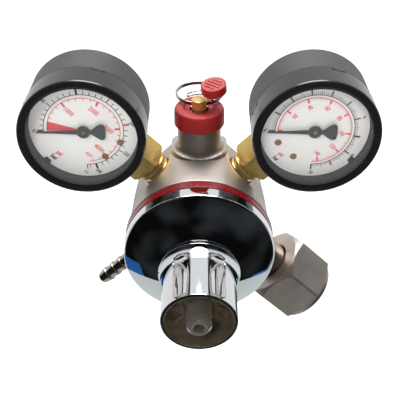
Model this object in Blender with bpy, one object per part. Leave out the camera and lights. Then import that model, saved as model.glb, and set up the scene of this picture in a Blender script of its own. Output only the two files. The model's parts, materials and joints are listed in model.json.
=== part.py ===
"""Single-stage cylinder gas regulator with two pressure gauges, as separate pieces.

The frame: the origin is the centre of the body's flat rear face, +Y points out of that face,
the adjusting knob is towards -Y, and +Z points up through the relief valve.
Lengths are in millimetres until MM turns them to metres.
"""

import math

import bmesh
import bpy
from mathutils import Matrix, Vector

MM = 0.001
GAP = 0.3

# Driving dimensions. Heights along the knob axis count forwards from the rear face.
PORT_HEIGHT = 13.0
GAUGE_REACH = 66.9
LEFT_PORT, RELIEF_PORT, RIGHT_PORT = 135.0, 90.0, 45.0
INLET_PORT, OUTLET_PORT = -45.0, -136.2

BODY_RADIUS = 30.2
FLAT_REACH = 26.5
FLANGE_RADIUS = 32.0
FLANGE_BACK, FLANGE_FRONT = 38.9, 40.3
CLAMP_LEDGE = 36.0
CLAMP_BORE = 29.2
CHAMBER_RADIUS, CHAMBER_FLOOR = 23.0, 31.0
NOZZLE_BORE, NOZZLE_LEDGE = 9.2, 24.0
INNER_CHAMBER_RADIUS, INNER_CHAMBER_FLOOR = 6.5, 5.0
GAS_DRILLING_REACH, GAS_DRILLING_RADIUS = 18.0, 1.6

TOWER_RADIUS, TOWER_TOP, TOWER_NECK_TOP = 9.3, 43.1, 48.0
RELIEF_BORE, RELIEF_BORE_FLOOR = 6.0, 24.0
PIN_HEAD_RADIUS, PIN_SHAFT_RADIUS, PIN_HOLE_HEIGHT = 3.45, 3.0, 52.4
RING_RADIUS, RING_WIRE = 9.9, 0.75

BONNET_RADIUS, BONNET_BACK, BONNET_BAND = 31.8, 44.8, 50.0
NECK_RADIUS, NECK_BORE, NECK_TOP = 12.4, 10.4, 70.7
KNOB_LIP, KNOB_RIM = 60.8, 88.6
KNOB_LIP_RADIUS, KNOB_RIM_RADIUS = 16.9, 14.85
FLUTES, FLUTE_CUT_RADIUS, FLUTE_CUT_REACH = 6, 9.5, 23.7
SCREW_RADIUS, SCREW_END = 4.9, 91.6

GAUGE_RADIUS, GAUGE_BACK, GAUGE_FRONT, BEZEL_SEAM = 26.0, 3.5, 34.3, 20.8
CASE_RADIUS, CASE_RIM, WINDOW_THICKNESS = 25.8, 31.3, 1.4
DIAL_FRONT = 26.5
SECTOR_TEETH, PINION_TEETH, TOOTH_MODULE = 90, 10, 0.3
SECTOR_REACH = TOOTH_MODULE * (SECTOR_TEETH + PINION_TEETH) / 2
GEAR_LOW, GEAR_HIGH = 20.0, 22.0
SHANK_SIDE, SHANK_TURN = 14.0, 30.0

NUT_ACROSS_FLATS, NUT_BACK, NUT_END = 33.2, 50.0, 75.6
NECK_PIPE_RADIUS = 9.0
TAIL_END = 67.5

FINISHES = {
    "satin_nickel": ("#A79E98", 0.38, 1.0),
    "polished_chrome": ("#D8DADC", 0.08, 1.0),
    "brass": ("#B08D45", 0.3, 1.0),
    "steel": ("#9A9A98", 0.35, 1.0),
    "copper_alloy": ("#B5784A", 0.35, 1.0),
    "red_plastic": ("#B8312F", 0.45, 0.0),
    "dark_red_plastic": ("#8E1B1F", 0.4, 0.0),
    "matt_black_plastic": ("#4A4B4E", 0.6, 0.0),
    "gloss_black_plastic": ("#17181A", 0.2, 0.0),
    "clear_plastic": ("#F2F5F6", 0.05, 0.0),
    "dial_white": ("#E9E6E1", 0.5, 0.0),
    "pointer_grey": ("#3A3D42", 0.45, 0.2),
    "black_rubber": ("#1C1C1C", 0.8, 0.0),
    "white_seal": ("#DAD7CC", 0.6, 0.0),
}


def clear_scene():
    for old in list(bpy.data.objects):
        bpy.data.objects.remove(old, do_unlink=True)


def linear(channel):
    return channel / 12.92 if channel <= 0.04045 else ((channel + 0.055) / 1.055) ** 2.4


def finish_of(name):
    """The finish's material, made once."""
    if name in bpy.data.materials:
        return bpy.data.materials[name]
    code, roughness, metallic = FINISHES[name]
    channels = [linear(int(code[i : i + 2], 16) / 255) for i in (1, 3, 5)]
    material = bpy.data.materials.new(name)
    material.use_nodes = True
    shader = material.node_tree.nodes["Principled BSDF"]
    shader.inputs["Base Color"].default_value = (*channels, 1.0)
    shader.inputs["Roughness"].default_value = roughness
    shader.inputs["Metallic"].default_value = metallic
    return material


# Places: each has its local Z along the axis that its pieces are turned about.


def knob_axis():
    """Local Z runs forwards, towards the knob, and local Y points up."""
    return Matrix.Rotation(math.radians(90), 4, "X")


def port_axis(angle):
    """Local Z runs outwards along a port, which stands at this angle from +X, seen from the front."""
    middle = Matrix.Translation((0, -PORT_HEIGHT * MM, 0))
    return middle @ Matrix.Rotation(math.radians(90 - angle), 4, "Y")


def gauge_axis(angle):
    """Local Z runs forwards through a gauge's middle, and local Y points away from the body."""
    turned_to_port = Matrix.Rotation(math.radians(90 - angle), 4, "Y") @ knob_axis()
    return Matrix.Translation(port_point(angle, GAUGE_REACH, 0.0)) @ turned_to_port


def port_point(angle, reach, height):
    """A point in the world at this reach from the knob axis and height in front of the rear face."""
    turn = math.radians(angle)
    return Vector((reach * math.cos(turn), -height, reach * math.sin(turn))) * MM


def shifted(place, x, y, z=0.0):
    return place @ Matrix.Translation(Vector((x, y, z)) * MM)


# Shapes.


def keep(name, mesh, place, finish):
    """Turns a bmesh into an object, shaded smooth with its edges kept."""
    bmesh.ops.recalc_face_normals(mesh, faces=mesh.faces)
    data = bpy.data.meshes.new(name)
    mesh.to_mesh(data)
    mesh.free()
    data.materials.append(finish_of(finish))
    data.shade_smooth()
    data.set_sharp_from_angle(angle=math.radians(35))
    piece = bpy.data.objects.new(name, data)
    piece.matrix_world = place
    bpy.context.scene.collection.objects.link(piece)
    return piece


def turned(name, profile, place, finish, steps=18):
    """A turned solid. Its (radius, height) profile runs from axis to axis, or else closes into a ring."""
    mesh = bmesh.new()
    points = [mesh.verts.new((radius * MM, 0, height * MM)) for radius, height in profile]
    edges = [mesh.edges.new(pair) for pair in zip(points, points[1:])]
    if profile[0][0] > 0 or profile[-1][0] > 0:
        edges.append(mesh.edges.new((points[-1], points[0])))
    bmesh.ops.spin(
        mesh, geom=points + edges, cent=(0, 0, 0), axis=(0, 0, 1), angle=math.tau, steps=steps, use_merge=True
    )
    bmesh.ops.remove_doubles(mesh, verts=mesh.verts, dist=1e-6)
    return keep(name, mesh, place, finish)


def prism(name, outline, low, high, place, finish):
    """An outline of (x, y) points, extruded along local Z."""
    mesh = bmesh.new()
    face = mesh.faces.new([mesh.verts.new((x * MM, y * MM, low * MM)) for x, y in outline])
    grown = bmesh.ops.extrude_face_region(mesh, geom=[face])["geom"]
    moved = [item for item in grown if isinstance(item, bmesh.types.BMVert)]
    bmesh.ops.translate(mesh, verts=moved, vec=(0, 0, (high - low) * MM))
    return keep(name, mesh, place, finish)


def rod(name, radius, low, high, place, finish="steel", steps=12):
    return turned(name, [(0, low), (radius, low), (radius, high), (0, high)], place, finish, steps)


def block(name, lows, highs, place, finish="steel"):
    outline = [(lows[0], lows[1]), (highs[0], lows[1]), (highs[0], highs[1]), (lows[0], highs[1])]
    return prism(name, outline, lows[2], highs[2], place, finish)


def tube(name, points, radius, place, finish, closed=False, sides=2):
    """A round wire through points in millimetres."""
    line = bpy.data.curves.new(name, "CURVE")
    line.dimensions = "3D"
    spline = line.splines.new("POLY")
    spline.points.add(len(points) - 1)
    for knot, point in zip(spline.points, points):
        knot.co = (*(Vector(point) * MM), 1.0)
    spline.use_cyclic_u = closed
    line.bevel_depth = radius * MM
    line.bevel_resolution = sides
    line.use_fill_caps = not closed
    line.materials.append(finish_of(finish))
    piece = bpy.data.objects.new(name, line)
    piece.matrix_world = place
    bpy.context.scene.collection.objects.link(piece)
    return piece


def combine(target, others, operation):
    """Adds the other shapes to the target, or cuts them from it."""
    for other in others:
        modifier = target.modifiers.new(other.name, "BOOLEAN")
        modifier.operation = operation
        modifier.solver = "EXACT"
        modifier.object = other
        other.hide_render = True
        other.display_type = "WIRE"
    return target


def add(target, *others):
    return combine(target, others, "UNION")


def cut(target, *others):
    return combine(target, others, "DIFFERENCE")


def bulge(start, end, rise, count):
    """Points on a shallow arc between two profile points, which stands out to the left by rise."""
    start, end = Vector(start), Vector(end)
    across = (end - start).orthogonal().normalized()
    steps = [i / count for i in range(count + 1)]
    return [tuple(start.lerp(end, t) + across * rise * 4 * t * (1 - t)) for t in steps]


def ring_of(count, radius, first=0.0):
    """Corners of a regular outline, such as a hexagon."""
    turns = [math.radians(first + 360 * i / count) for i in range(count)]
    return [(radius * math.cos(turn), radius * math.sin(turn)) for turn in turns]


def coil(radius, low, high, turns, per_turn=10):
    """Points on a helix whose last turn at each end is closed flat."""
    points = []
    for i in range(turns * per_turn + 1):
        turn = i / per_turn
        rise = min(max((turn - 0.75) / (turns - 1.5), 0.0), 1.0)
        angle = math.tau * turn
        points.append((radius * math.cos(angle), radius * math.sin(angle), low + (high - low) * rise))
    return points


# Body and what is fixed to it.


def make_body():
    place = knob_axis()
    core = [
        (0, 0), (27.6, 0), (29.4, 1.8), (BODY_RADIUS, 14), (30.8, 30), (30.8, FLANGE_BACK - 0.6),
        (FLANGE_RADIUS, FLANGE_BACK), (FLANGE_RADIUS, FLANGE_FRONT), (CLAMP_BORE, FLANGE_FRONT),
        (CLAMP_BORE, CLAMP_LEDGE), (CHAMBER_RADIUS, CLAMP_LEDGE), (CHAMBER_RADIUS, CHAMBER_FLOOR),
        (NOZZLE_BORE, CHAMBER_FLOOR), (NOZZLE_BORE, NOZZLE_LEDGE),
        (INNER_CHAMBER_RADIUS, NOZZLE_LEDGE), (INNER_CHAMBER_RADIUS, INNER_CHAMBER_FLOOR),
        (0, INNER_CHAMBER_FLOOR),
    ]  # fmt: skip
    body = turned("body", core, place, "satin_nickel", 32)
    cut(body, *[flat_cutter(angle) for angle in (LEFT_PORT, RIGHT_PORT, INLET_PORT, OUTLET_PORT)])
    add(body, make_land(), make_tower())
    cut(body, *port_cutters())
    return body


def flat_cutter(angle):
    """Mills a flat for a port, with a sloped front wall that runs out under the flange."""
    across = Matrix(((0, 0, 1, 0), (1, 0, 0, 0), (0, 1, 0, 0), (0, 0, 0, 1)))
    back, front = PORT_HEIGHT + 3, PORT_HEIGHT - 27
    slope = front - 3.4
    outline = [(back, FLAT_REACH), (front, FLAT_REACH), (slope, FLAT_REACH + 5), (slope, 40), (back, 40)]
    return prism("cut_flat_%d" % angle, outline, -24, 24, port_axis(angle) @ across, "steel")


def make_land():
    """The raised land between the gauge ports, which spreads out to meet the flange."""
    half = [(12.3, 1.0), (12.3, 12.0), (13.4, 20.0), (15.1, 25.0), (18.0, 28.6), (21.0, 30.2), (24.0, 31.0)]
    half.append((24.0, FLANGE_BACK + 0.4))
    outline = [(x, -h) for x, h in half] + [(-x, -h) for x, h in reversed(half)]
    land = prism("land", outline, 12, 34, Matrix.Identity(4), "satin_nickel")
    skin = [(0, 0.6), (31.0, 0.6), (31.6, 2.0), (31.7, 39.2), (0, 39.2)]
    skin = turned("land_skin", skin, knob_axis(), "satin_nickel", 32)
    keep_clear = turned(
        "land_hollow", [(0, 25.0), (CHAMBER_RADIUS + 0.5, 25.0), (CHAMBER_RADIUS + 0.5, 45.0), (0, 45.0)],
        knob_axis(), "steel", 24,
    )  # fmt: skip
    thread = turned(
        "land_thread", [(0, CLAMP_LEDGE - 0.5), (29.7, CLAMP_LEDGE - 0.5), (29.7, 45), (0, 45)],
        knob_axis(), "steel", 28,
    )  # fmt: skip
    return cut(combine(land, [skin], "INTERSECT"), keep_clear, thread)


def make_tower():
    """The relief valve's round tower, with a fillet at its foot and a neck for the cap."""
    profile = [
        (0, 25.5), (12.4, 25.5), (12.4, 30.6), (11.3, 31.9), (10.1, 32.6), (9.5, 33.8), (TOWER_RADIUS, 35.0),
        (TOWER_RADIUS, TOWER_TOP), (7.5, TOWER_TOP), (7.5, TOWER_NECK_TOP), (0, TOWER_NECK_TOP),
    ]  # fmt: skip
    return turned("tower", profile, port_axis(RELIEF_PORT), "satin_nickel", 18)


def port_cutters():
    """The threaded ports, the drillings that feed them, and the relief valve's bore."""
    cutters = []
    for angle, radius, floor in (
        (LEFT_PORT, 6.9, 17.5), (RIGHT_PORT, 6.9, 17.5), (INLET_PORT, 8.5, 15.0), (OUTLET_PORT, 6.9, 17.5),
        (RELIEF_PORT, RELIEF_BORE, RELIEF_BORE_FLOOR),
    ):  # fmt: skip
        cutters.append(rod("port_%d" % angle, radius, floor, 60, port_axis(angle)))
    for angle in (LEFT_PORT, INLET_PORT):
        cutters.append(rod("feed_%d" % angle, 2.0, 3.0, 20.0, port_axis(angle), steps=12))
    cutters.append(rod("feed_relief", 2.0, 16.6, 25.0, port_axis(RELIEF_PORT), steps=12))
    for angle in (RELIEF_PORT, RIGHT_PORT, OUTLET_PORT):
        turn = math.radians(angle)
        x, y = GAS_DRILLING_REACH * math.cos(turn), GAS_DRILLING_REACH * math.sin(turn)
        low = PORT_HEIGHT + (0.4 if angle == RELIEF_PORT else 2.0)
        place = shifted(knob_axis(), x, y)
        top = CHAMBER_FLOOR + 2
        cutters.append(rod("drilling_%d" % angle, GAS_DRILLING_RADIUS, low, top, place, steps=10))
    return cutters


def make_diaphragm_stack():
    """The colour ring, the diaphragm and the slip ring that clamps it, from the outside in."""
    place = knob_axis()
    low, high = FLANGE_FRONT + GAP, BONNET_BACK - GAP
    turned(
        "colour_ring", [(CLAMP_BORE, low), (31.9, low), (31.9, high), (CLAMP_BORE, high)],
        place, "dark_red_plastic", 28,
    )  # fmt: skip
    low = CLAMP_LEDGE + GAP
    profile = [
        (2.5, low), (15.5, low), (18.0, low - 0.9), (20.0, low - 0.9), (22.4, low), (28.8, low),
        (28.8, low + 0.8), (22.0, low + 0.8), (19.8, low - 0.1), (18.2, low - 0.1), (15.7, low + 0.8),
        (2.5, low + 0.8),
    ]  # fmt: skip
    turned("diaphragm", profile, place, "black_rubber")
    low = low + 0.8 + GAP
    turned("slip_ring", [(24.5, low), (28.7, low), (28.7, low + 1.2), (24.5, low + 1.2)], place, "steel", 20)


def make_bonnet():
    """The domed cover, whose neck reaches up into the knob and carries the drive nut."""
    spigot = 38.9
    dome = bulge((31.2, BONNET_BAND + 0.9), (15.4, 60.0), -1.3, 3)
    profile = [
        (CLAMP_BORE - GAP, spigot), (CLAMP_BORE - GAP, BONNET_BACK), (31.5, BONNET_BACK), (BONNET_RADIUS, 45.1),
        (BONNET_RADIUS, BONNET_BAND), *dome, (NECK_RADIUS, 60.3), (NECK_RADIUS, NECK_TOP),
        (NECK_BORE, NECK_TOP), (NECK_BORE, 69.3), (11.0, 69.3), (11.0, 67.7), (NECK_BORE, 67.7),
        (NECK_BORE, 58.0), (15.5, 57.3), (23.0, 53.6), (27.6, 49.3), (27.6, 46.0), (24.6, 44.4),
        (24.6, spigot),
    ]  # fmt: skip
    turned("bonnet", profile, knob_axis(), "polished_chrome", 28)


def make_valve():
    """The nozzle, and the moving stack that opens it: plate, push pin, poppet and springs."""
    place = knob_axis()
    low = NOZZLE_LEDGE + GAP
    nozzle = [
        (2.6, low - 0.7), (3.4, low - 0.7), (3.9, low), (8.9, low), (8.9, 30.7), (6.4, 30.7), (6.4, 32.6),
        (2.6, 32.6),
    ]  # fmt: skip
    turned("valve_nozzle", nozzle, place, "brass", 16)
    plate = [(0, 37.4), (14.0, 37.4), (14.0, 38.4), (13.0, 39.4), (6.8, 39.4), (6.8, 42.0), (6.0, 42.6)]
    plate.append((0, 42.6))
    turned("diaphragm_plate", plate, place, "brass")
    pin = [(0, 24.6), (1.9, 24.6), (1.9, 34.5), (5.0, 34.5), (5.0, 36.0), (2.2, 36.0), (2.2, 37.1), (0, 37.1)]
    turned("push_pin", pin, place, "steel", 12)
    poppet = [(0, 16.8), (1.6, 16.8), (1.6, 19.4), (5.2, 19.4), (5.2, 23.3), (1.6, 23.3), (1.6, 24.3)]
    poppet.append((0, 24.3))
    turned("valve_poppet", poppet, place, "brass", 12)
    tube("valve_spring", coil(3.4, 5.9, 18.5, 5, 7), 0.5, place, "steel", sides=1)
    tube("main_spring", coil(8.5, 41.0, 60.3, 5, 9), 1.2, place, "steel", sides=1)


def make_knob():
    """The fluted hand knob: a cup with a spoked web around the screw."""
    place = knob_axis()
    flare = bulge((KNOB_LIP_RADIUS, KNOB_LIP + 0.8), (15.25, KNOB_LIP + 6.0), 0.45, 3)
    profile = [
        (12.8, KNOB_LIP), (16.6, KNOB_LIP), *flare, (KNOB_RIM_RADIUS, KNOB_RIM - 0.4), (14.5, KNOB_RIM),
        (13.6, KNOB_RIM), (13.3, KNOB_RIM - 0.4), (13.0, 77.6), (6.6, 77.6), (6.6, 76.3), (7.9, 76.3),
        (7.9, 71.4), (12.8, 71.4),
    ]  # fmt: skip
    knob = turned("knob", profile, place, "polished_chrome", 30)
    shallow = FLUTE_CUT_RADIUS - 1.2
    groove = [
        (0, 65.2), (shallow, 65.2), (FLUTE_CUT_RADIUS, 67.6), (FLUTE_CUT_RADIUS, 86.6), (shallow, 87.6),
        (0, 87.6),
    ]  # fmt: skip
    cutters, spokes = [], []
    for i in range(FLUTES):
        turn = math.tau * (i + 0.5) / FLUTES
        x, y = FLUTE_CUT_REACH * math.sin(turn), FLUTE_CUT_REACH * math.cos(turn)
        cutters.append(turned("flute_%d" % i, groove, shifted(place, x, y), "steel", 28))
        around = place @ Matrix.Rotation(math.tau * i / FLUTES, 4, "Z")
        spokes.append(block("spoke_%d" % i, (7.4, -0.7, 77.0), (13.4, 0.7, 79.6), around))
    add(knob, *spokes)
    cut(knob, *cutters)


def make_drive():
    """The captive nut that the knob turns, its clip, and the screw and button that it drives."""
    place = knob_axis()
    nut = [(5.2, 65.5), (10.1, 65.5), (10.1, 67.5), (7.6, 67.5), (7.6, 76.0), (5.2, 76.0)]
    turned("drive_nut", nut, place, "brass")
    clip = turned("retaining_clip", [(8.1, 67.9), (10.7, 67.9), (10.7, 69.0), (8.1, 69.0)], place, "steel")
    cut(clip, block("clip_gap", (-1.6, 6.0, 66.0), (1.6, 12.0, 71.0), place))
    end = SCREW_END
    screw = [(0, 64.9), (4.2, 64.9), (SCREW_RADIUS, 65.6), (SCREW_RADIUS, end - 1.1), (3.8, end), (0, end)]
    screw = turned("adjusting_screw", screw, place, "steel")
    cut(screw, prism("hex_socket", ring_of(6, 2.31), end - 4.5, end + 1, place, "steel"))
    button = [(0, 61.9), (6.6, 61.9), (6.6, 62.0), (10.0, 62.0), (10.0, 64.4), (0, 64.4)]
    turned("spring_button", button, place, "steel")


def make_relief_valve():
    place = port_axis(RELIEF_PORT)
    cap = [
        (4.0, 48.4), (7.8, 48.4), (7.8, TOWER_TOP + GAP), (10.7, TOWER_TOP + GAP), (10.6, 49.7), (10.2, 50.6),
        (9.5, 51.0), (6.6, 51.0), (6.2, 50.1), (4.0, 50.1),
    ]  # fmt: skip
    turned("relief_cap", cap, place, "red_plastic", 20)
    poppet = [(0, 24.4), (4.6, 24.4), (4.6, 27.3), (2.2, 27.3), (2.2, 28.8), (0, 28.8)]
    turned("relief_poppet", poppet, place, "black_rubber", 12)
    tube("relief_spring", coil(4.8, 28.2, 47.3, 6, 7), 0.5, place, "steel", sides=1)
    pin = [
        (0, 29.1), (1.8, 29.1), (1.8, 45.0), (PIN_SHAFT_RADIUS, 46.0), (PIN_SHAFT_RADIUS, 50.2),
        (PIN_HEAD_RADIUS, 50.7), (PIN_HEAD_RADIUS, 54.0), (2.9, 54.6), (0, 54.6),
    ]  # fmt: skip
    pin = turned("relief_pin", pin, place, "brass", 16)
    hinge = Matrix.Translation((0, -PORT_HEIGHT * MM, PIN_HOLE_HEIGHT * MM))
    across = hinge @ Matrix.Rotation(math.pi / 2, 4, "Y")
    cut(pin, rod("pin_hole", 1.4, -6, 6, across, steps=10))


def make_pull_ring():
    """The split ring through the pin's cross hole, with its seal and the seal's twisted wire."""
    hinge = bpy.data.objects.new("pull_ring_hinge", None)
    bpy.context.scene.collection.objects.link(hinge)
    hinge.location = (0, -PORT_HEIGHT * MM, PIN_HOLE_HEIGHT * MM)
    turns = [math.tau * i / 22 for i in range(22)]
    loop = [(RING_RADIUS * math.sin(t), RING_RADIUS * (1 - math.cos(t)) - 0.3, 0) for t in turns]
    ring = tube("pull_ring", loop, RING_WIRE, Matrix.Identity(4), "steel", closed=True, sides=1)
    ring.parent = hinge
    facing = Vector((-0.12, -0.15, 0.98)).normalized()
    middle = Vector((6.0, -PORT_HEIGHT, 59.8)) * MM
    place = Matrix.Translation(middle) @ facing.to_track_quat("Z", "Y").to_matrix().to_4x4()
    seal = [(0, -2.2), (4.95, -2.2), (5.35, -1.7), (5.35, 1.7), (4.95, 2.2), (0, 2.2)]
    turned("seal", seal, place, "red_plastic", 16)
    wire = [
        (5.6, -16.6, 56.7), (5.2, -16.4, 55.4), (4.8, -14.6, 54.3), (4.9, -11.6, 54.2), (3.4, -9.2, 54.2),
        (0.6, -8.2, 54.2), (-2.6, -8.6, 54.2), (-4.9, -10.2, 54.2), (-4.6, -8.4, 54.7), (-2.4, -7.2, 55.3),
        (0.4, -6.6, 56.4),
    ]  # fmt: skip
    tube("seal_wire", wire, 0.45, Matrix.Identity(4), "steel", sides=1)


# The gauges, each built about its own middle with the stem at local -Y.


def make_gauge(side, angle):
    place = gauge_axis(angle)
    hand = 1 if side == "left" else -1
    make_case(side, place)
    make_socket(side, angle, place)
    make_dial(side, place, hand)
    make_movement(side, place, hand)
    make_pointer(side, place, angle)


def make_case(side, place):
    case = [
        (0, GAUGE_BACK), (25.2, GAUGE_BACK), (CASE_RADIUS, GAUGE_BACK + 0.6), (CASE_RADIUS, BEZEL_SEAM),
        (23.9, BEZEL_SEAM), (23.9, CASE_RIM), (22.6, CASE_RIM), (22.6, BEZEL_SEAM + 1.3),
        (24.3, BEZEL_SEAM - 0.4), (24.3, GAUGE_BACK + 1.8), (0, GAUGE_BACK + 1.8),
    ]  # fmt: skip
    case = turned(side + "_gauge_case", case, place, "matt_black_plastic", 24)
    stem = shifted(place, 0, 0, PORT_HEIGHT) @ Matrix.Rotation(math.pi / 2, 4, "X")
    cut(case, rod(side + "_stem_hole", 5.5, 20, 30, stem, steps=12))
    front, glass = GAUGE_FRONT, (CASE_RIM + GAP, CASE_RIM + GAP + WINDOW_THICKNESS)
    bezel = [
        (GAUGE_RADIUS, BEZEL_SEAM + GAP), (GAUGE_RADIUS, front - 0.9), (25.3, front - 0.1), (24.6, front),
        (23.1, front), (22.6, front - 0.5), (22.5, glass[1] + GAP), (24.2, glass[1] + GAP),
        (24.2, BEZEL_SEAM + GAP),
    ]  # fmt: skip
    turned(side + "_gauge_bezel", bezel, place, "gloss_black_plastic", 24)
    window = [(0, glass[0]), (23.9, glass[0]), (23.9, glass[1]), (0, glass[1])]
    turned(side + "_gauge_window", window, place, "clear_plastic", 24)


def make_socket(side, angle, gauge_place):
    """The brass stem: thread, collar, square shank and the neck that carries the spring tube."""
    place = port_axis(angle)
    half = SHANK_SIDE / math.sqrt(2)
    shank = prism(
        side + "_gauge_socket", ring_of(4, half, SHANK_TURN if side == "left" else -SHANK_TURN),
        31.2, 46.0, place, "brass",
    )  # fmt: skip
    cut(shank, turned(
        side + "_case_clearance", [(0, 0), (26.15, 0), (26.15, 40), (0, 40)], gauge_place, "steel", 28
    ))  # fmt: skip
    stem = [
        (0, 20.0), (5.9, 20.0), (6.55, 20.8), (6.55, 27.2), (5.9, 27.8), (5.9, 28.4), (7.0, 28.8),
        (7.0, 31.0), (6.4, 31.6), (5.1, 31.6), (5.1, GAUGE_REACH - 15.0), (0, GAUGE_REACH - 15.0),
    ]  # fmt: skip
    add(shank, turned(side + "_stem", stem, place, "brass", 16))
    low, high = GAUGE_REACH - 19.0, GAUGE_REACH - 10.5
    add(shank, block(side + "_stem_block", (-5.0, -4.5, low), (5.0, 3.4, high), place))


def make_dial(side, place, hand):
    """The dial, its two screws and the stop at its rim. The right gauge's fittings are a mirror image."""
    face, low = DIAL_FRONT, DIAL_FRONT - 0.8
    disc = [(1.4, low), (22.3, low), (22.3, face), (1.4, face)]
    dial = turned(side + "_gauge_dial", disc, place, "dial_white", 24)
    for i, x in enumerate((-4.8, 4.8)):
        spot = shifted(place, x + 1.6 * hand, -14.3)
        cut(dial, rod("%s_dial_hole_%d" % (side, i), 1.1, low - 1, low + 2, spot, steps=10))
        screw = [(0, 25.0), (0.8, 25.0), (0.8, face + 0.2), (1.5, face + 0.3), (1.4, face + 0.6)]
        screw.append((0, face + 0.7))
        turned("%s_gauge_dial_screw_%d" % (side, i + 1), screw, spot, "brass", 8)
    spot = shifted(place, -21.3 * hand, 1.9)
    nub = rod(side + "_gauge_stop_pin", 0.85, face + 0.3, face + 1.1, spot, "pointer_grey", 8)
    cut(dial, rod(side + "_stop_hole", 0.6, low - 1, low + 2, spot, steps=8))
    add(nub, rod(side + "_stop_foot", 0.3, low - 0.4, face + 0.7, spot, steps=8))


def make_movement(side, place, hand):
    """The spring tube, the two plates that carry the gears, the toothed sector and the pinion's arbor."""
    plates = block(side + "_gauge_movement", (-6.0, -20.0, 18.5), (6.0, 5.0, 19.3), place, "brass")
    add(plates, block(side + "_top_plate", (-6.0, -20.0, 23.4), (6.0, 5.0, 24.4), place))
    for x, y in ((-4.6, 3.6), (4.6, -18.6)):
        add(plates, rod("%s_pillar_%d" % (side, y), 1.1, 18.8, 24.0, shifted(place, x, y), steps=10))
    for x in (-4.8, 4.8):
        spot = shifted(place, x + 1.6 * hand, -14.3)
        cut(plates, rod("%s_clear_%d" % (side, x), 1.2, 23.0, 25.0, spot, steps=10))
    for y in (0.0, -SECTOR_REACH):
        cut(plates, rod("%s_bearing_%d" % (side, y), 1.1, 17.5, 25.0, shifted(place, 0, y), steps=12))

    pivot = shifted(place, 0, -SECTOR_REACH)
    sector = prism(side + "_gauge_sector", sector_outline(), GEAR_LOW, GEAR_HIGH - 0.6, pivot, "brass")
    add(sector, rod(side + "_sector_arbor", 0.8, 18.6, 24.8, pivot, steps=10))
    arbor = prism(side + "_gauge_arbor", pinion_outline(), GEAR_LOW - 0.3, GEAR_HIGH, place, "brass")
    add(arbor, rod(side + "_arbor_rod", 0.8, 18.6, DIAL_FRONT + 1.9, place, steps=12))

    sweep = [math.radians(-62 + 250 * i / 14) for i in range(15)]
    points = [(17.5 * math.cos(t), 17.5 * math.sin(t), PORT_HEIGHT) for t in sweep]
    start = (5.6, -14.2, PORT_HEIGHT)
    tip = [(-16.0, -6.0, 14.5), (-13.0, -10.0, 17.0), (-10.4, -13.0, 18.2)]
    tube(side + "_gauge_spring_tube", [start, *points, *tip], 1.5, place, "copper_alloy", sides=1)


def sector_outline():
    """A toothed arc over 52 degrees, its arms, and the short tail that the spring tube's link pulls."""
    pitch = TOOTH_MODULE * SECTOR_TEETH / 2
    step = 360.0 / SECTOR_TEETH
    points = []
    for i in range(13):
        middle = 90 + 1.5 * step - i * step
        points += tooth(pitch, step, middle)
    boss = [(2.4, 20), (2.4, -30), (2.4, -80), (2.4, -130), (2.4, -170)]
    return points + polar(boss + [(7.6, 187), (7.6, 173), (2.4, 160)])


def pinion_outline():
    """Ten teeth, with one pointing straight at the sector's pivot."""
    step = 360.0 / PINION_TEETH
    points = []
    for i in range(PINION_TEETH):
        points += tooth(TOOTH_MODULE * PINION_TEETH / 2, step, -90 - i * step)
    return points


def tooth(pitch, step, middle):
    """One tapered tooth, clockwise, from the root before it to the root after it."""
    root, tip = pitch - 1.15 * TOOTH_MODULE, pitch + 0.8 * TOOTH_MODULE
    foot, crest = 0.24 * step, 0.09 * step
    return polar([(root, middle + foot), (tip, middle + crest), (tip, middle - crest), (root, middle - foot)])


def polar(points):
    return [(r * math.cos(math.radians(a)), r * math.sin(math.radians(a))) for r, a in points]


def make_pointer(side, place, angle):
    """The pointer lies over the dial at zero, which is at nine o'clock as the regulator stands."""
    level = place @ Matrix.Rotation(math.radians(angle - 90), 4, "Z").inverted()
    name = side + "_gauge_pointer"
    blade = [(-19.0, -0.12), (-17.6, -0.35), (0, -1.0), (4.4, -1.2), (7.2, -3.3), (8.6, -2.6), (8.9, 0)]
    blade += [(x, -y) for x, y in reversed(blade[:-1])]
    low = DIAL_FRONT + 0.3
    pointer = prism(name, blade, low + 0.75, low + 1.25, level, "pointer_grey")
    add(pointer, rod(side + "_hub", 2.7, low, low + 1.5, level, steps=14))
    cut(pointer, rod(side + "_hub_hole", 1.1, low - 1, low + 3, level, steps=10))


# Inlet and outlet.


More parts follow.
